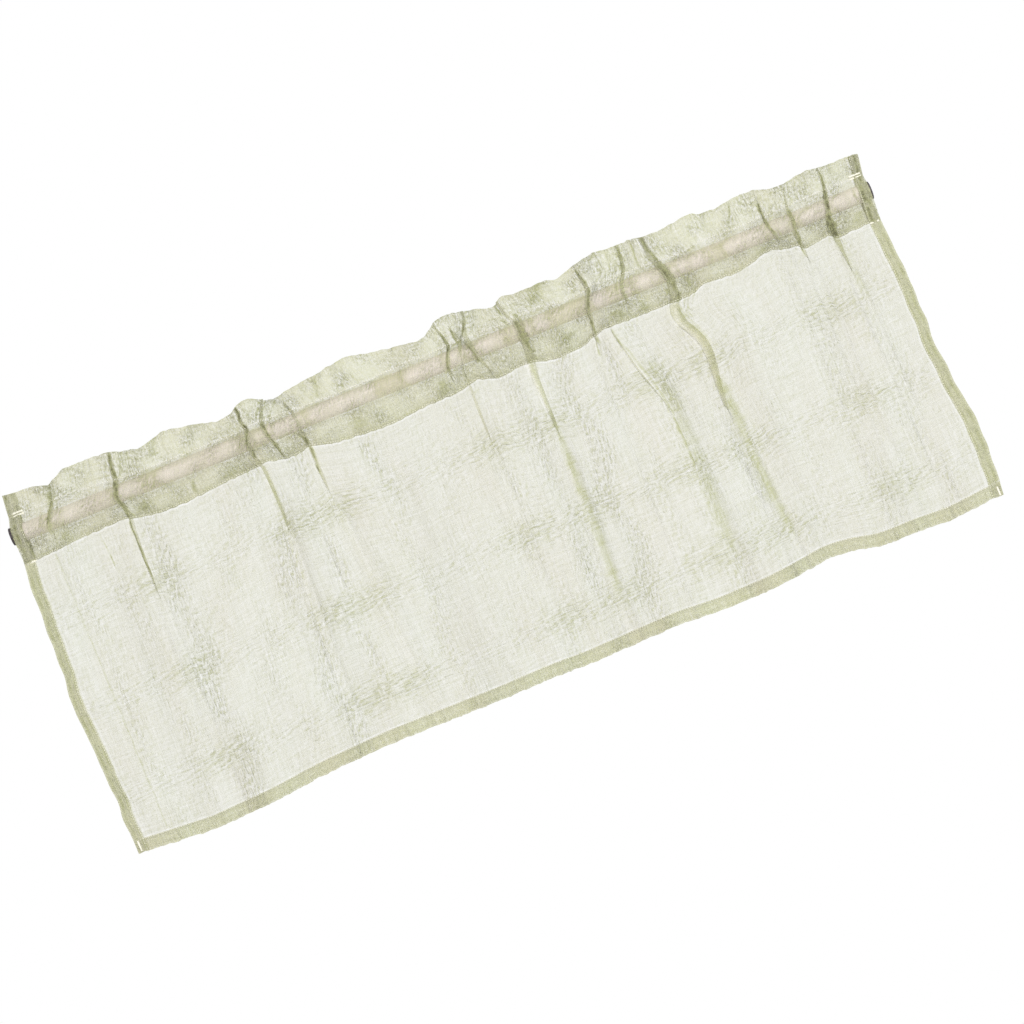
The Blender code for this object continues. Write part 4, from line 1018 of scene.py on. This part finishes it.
def sew(name, runs, **inputs):
    """Lays stitches along the runs, and leaves them as one plain mesh."""
    curve = bpy.data.curves.new(name, "CURVE")
    curve.dimensions = "3D"
    for run in runs:
        spline = curve.splines.new("POLY")
        spline.points.add(len(run) - 1)
        for point, place in zip(spline.points, run):
            point.co = (*place, 1.0)
    guide = bpy.data.objects.new(name + "_guide", curve)
    bpy.context.collection.objects.link(guide)
    modifier = guide.modifiers.new("stitcher", "NODES")
    modifier.node_group = stitcher
    sockets = [item for item in stitcher.interface.items_tree if item.in_out == "INPUT"]
    named = {item.name: item.identifier for item in sockets}
    modifier[named["Thread"]] = thread
    for key, value in inputs.items():
        modifier[named[key]] = value
    settled = guide.evaluated_get(bpy.context.evaluated_depsgraph_get())
    plain = bpy.data.meshes.new_from_object(settled)
    plain.name = name
    guide.modifiers.remove(modifier)
    bpy.data.objects.remove(guide)
    piece = bpy.data.objects.new(name, plain)
    bpy.context.collection.objects.link(piece)
    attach(piece, "root")
    return piece


seams_sewn = sew("seam_stitches", RUNS)
bars_sewn = sew("bar_tacks", BARS, Pitch=0.9 * MM, Length=1.9 * MM, Width=2.5 * MM, Seed=9)

# The stage
# A pale floor well below the curtain, in the white of a photographer's cove, and three large soft lights.
FLOOR = -1.4
floor_mesh = bpy.data.meshes.new("floor")
bm = bmesh.new()
bmesh.ops.create_circle(bm, cap_ends=True, segments=64, radius=1.25)
bm.to_mesh(floor_mesh)
bm.free()
floor_mesh.transform(Matrix.Translation((0, 0, FLOOR)))
floor = bpy.data.objects.new("floor", floor_mesh)
bpy.context.collection.objects.link(floor)
floor_paint, tree, output = new_material("matt_white_floor")
shader = add_node(tree, "ShaderNodeBsdfPrincipled", {"Base Color": linear("#FCFCFA"), "Roughness": 0.9})
tree.links.new(shader.outputs["BSDF"], output.inputs["Surface"])
floor_mesh.materials.append(floor_paint)
floor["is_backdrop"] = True

world = bpy.data.worlds.new("white_cove")
world.use_nodes = True
tree = world.node_tree
tree.nodes.clear()
seen = add_node(tree, "ShaderNodeBackground", {"Color": (1, 1, 1, 1), "Strength": 1.0})
lit = add_node(tree, "ShaderNodeBackground", {"Color": (1, 1, 1, 1), "Strength": 0.51})
ray = add_node(tree, "ShaderNodeLightPath")
mixed = add_node(tree, "ShaderNodeMixShader", {
    0: ray.outputs["Is Camera Ray"], 1: lit.outputs["Background"], 2: seen.outputs["Background"],
})
output = add_node(tree, "ShaderNodeOutputWorld", {"Surface": mixed.outputs["Shader"]})
bpy.context.scene.world = world
bpy.context.scene.view_settings.view_transform = "Standard"


def soft_light(name, place, size, power):
    """A square area light that looks at the curtain's middle."""
    data = bpy.data.lights.new(name, "AREA")
    data.size = size
    data.energy = power
    light = bpy.data.objects.new(name, data)
    light.location = place
    light.rotation_euler = (-light.location).to_track_quat("-Z", "Y").to_euler()
    bpy.context.collection.objects.link(light)


soft_light("key", (1.6, -4.85, 1.5), 2.0, 180.0)
soft_light("fill", (-2.8, -4.2, 0.4), 2.4, 26.0)
soft_light("back", (-1.2, 4.4, 1.8), 2.0, 55.0)

# The camera looks straight at the curtain through a long lens, rolled so that the rod climbs to the right.
ROLL = 22.0
DISTANCE = 4.0
FRAME_WIDTH = 1.2247
AIM = (0.0122, -0.1964)
camera_data = bpy.data.cameras.new("camera")
camera_data.sensor_width = 36.0
camera_data.lens = 36.0 * DISTANCE / FRAME_WIDTH
camera = bpy.data.objects.new("camera", camera_data)
camera.location = (AIM[0], -DISTANCE, AIM[1])
camera.rotation_euler = (math.radians(90.0), math.radians(ROLL), 0.0)
bpy.context.collection.objects.link(camera)
bpy.context.scene.camera = camera

low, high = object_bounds()
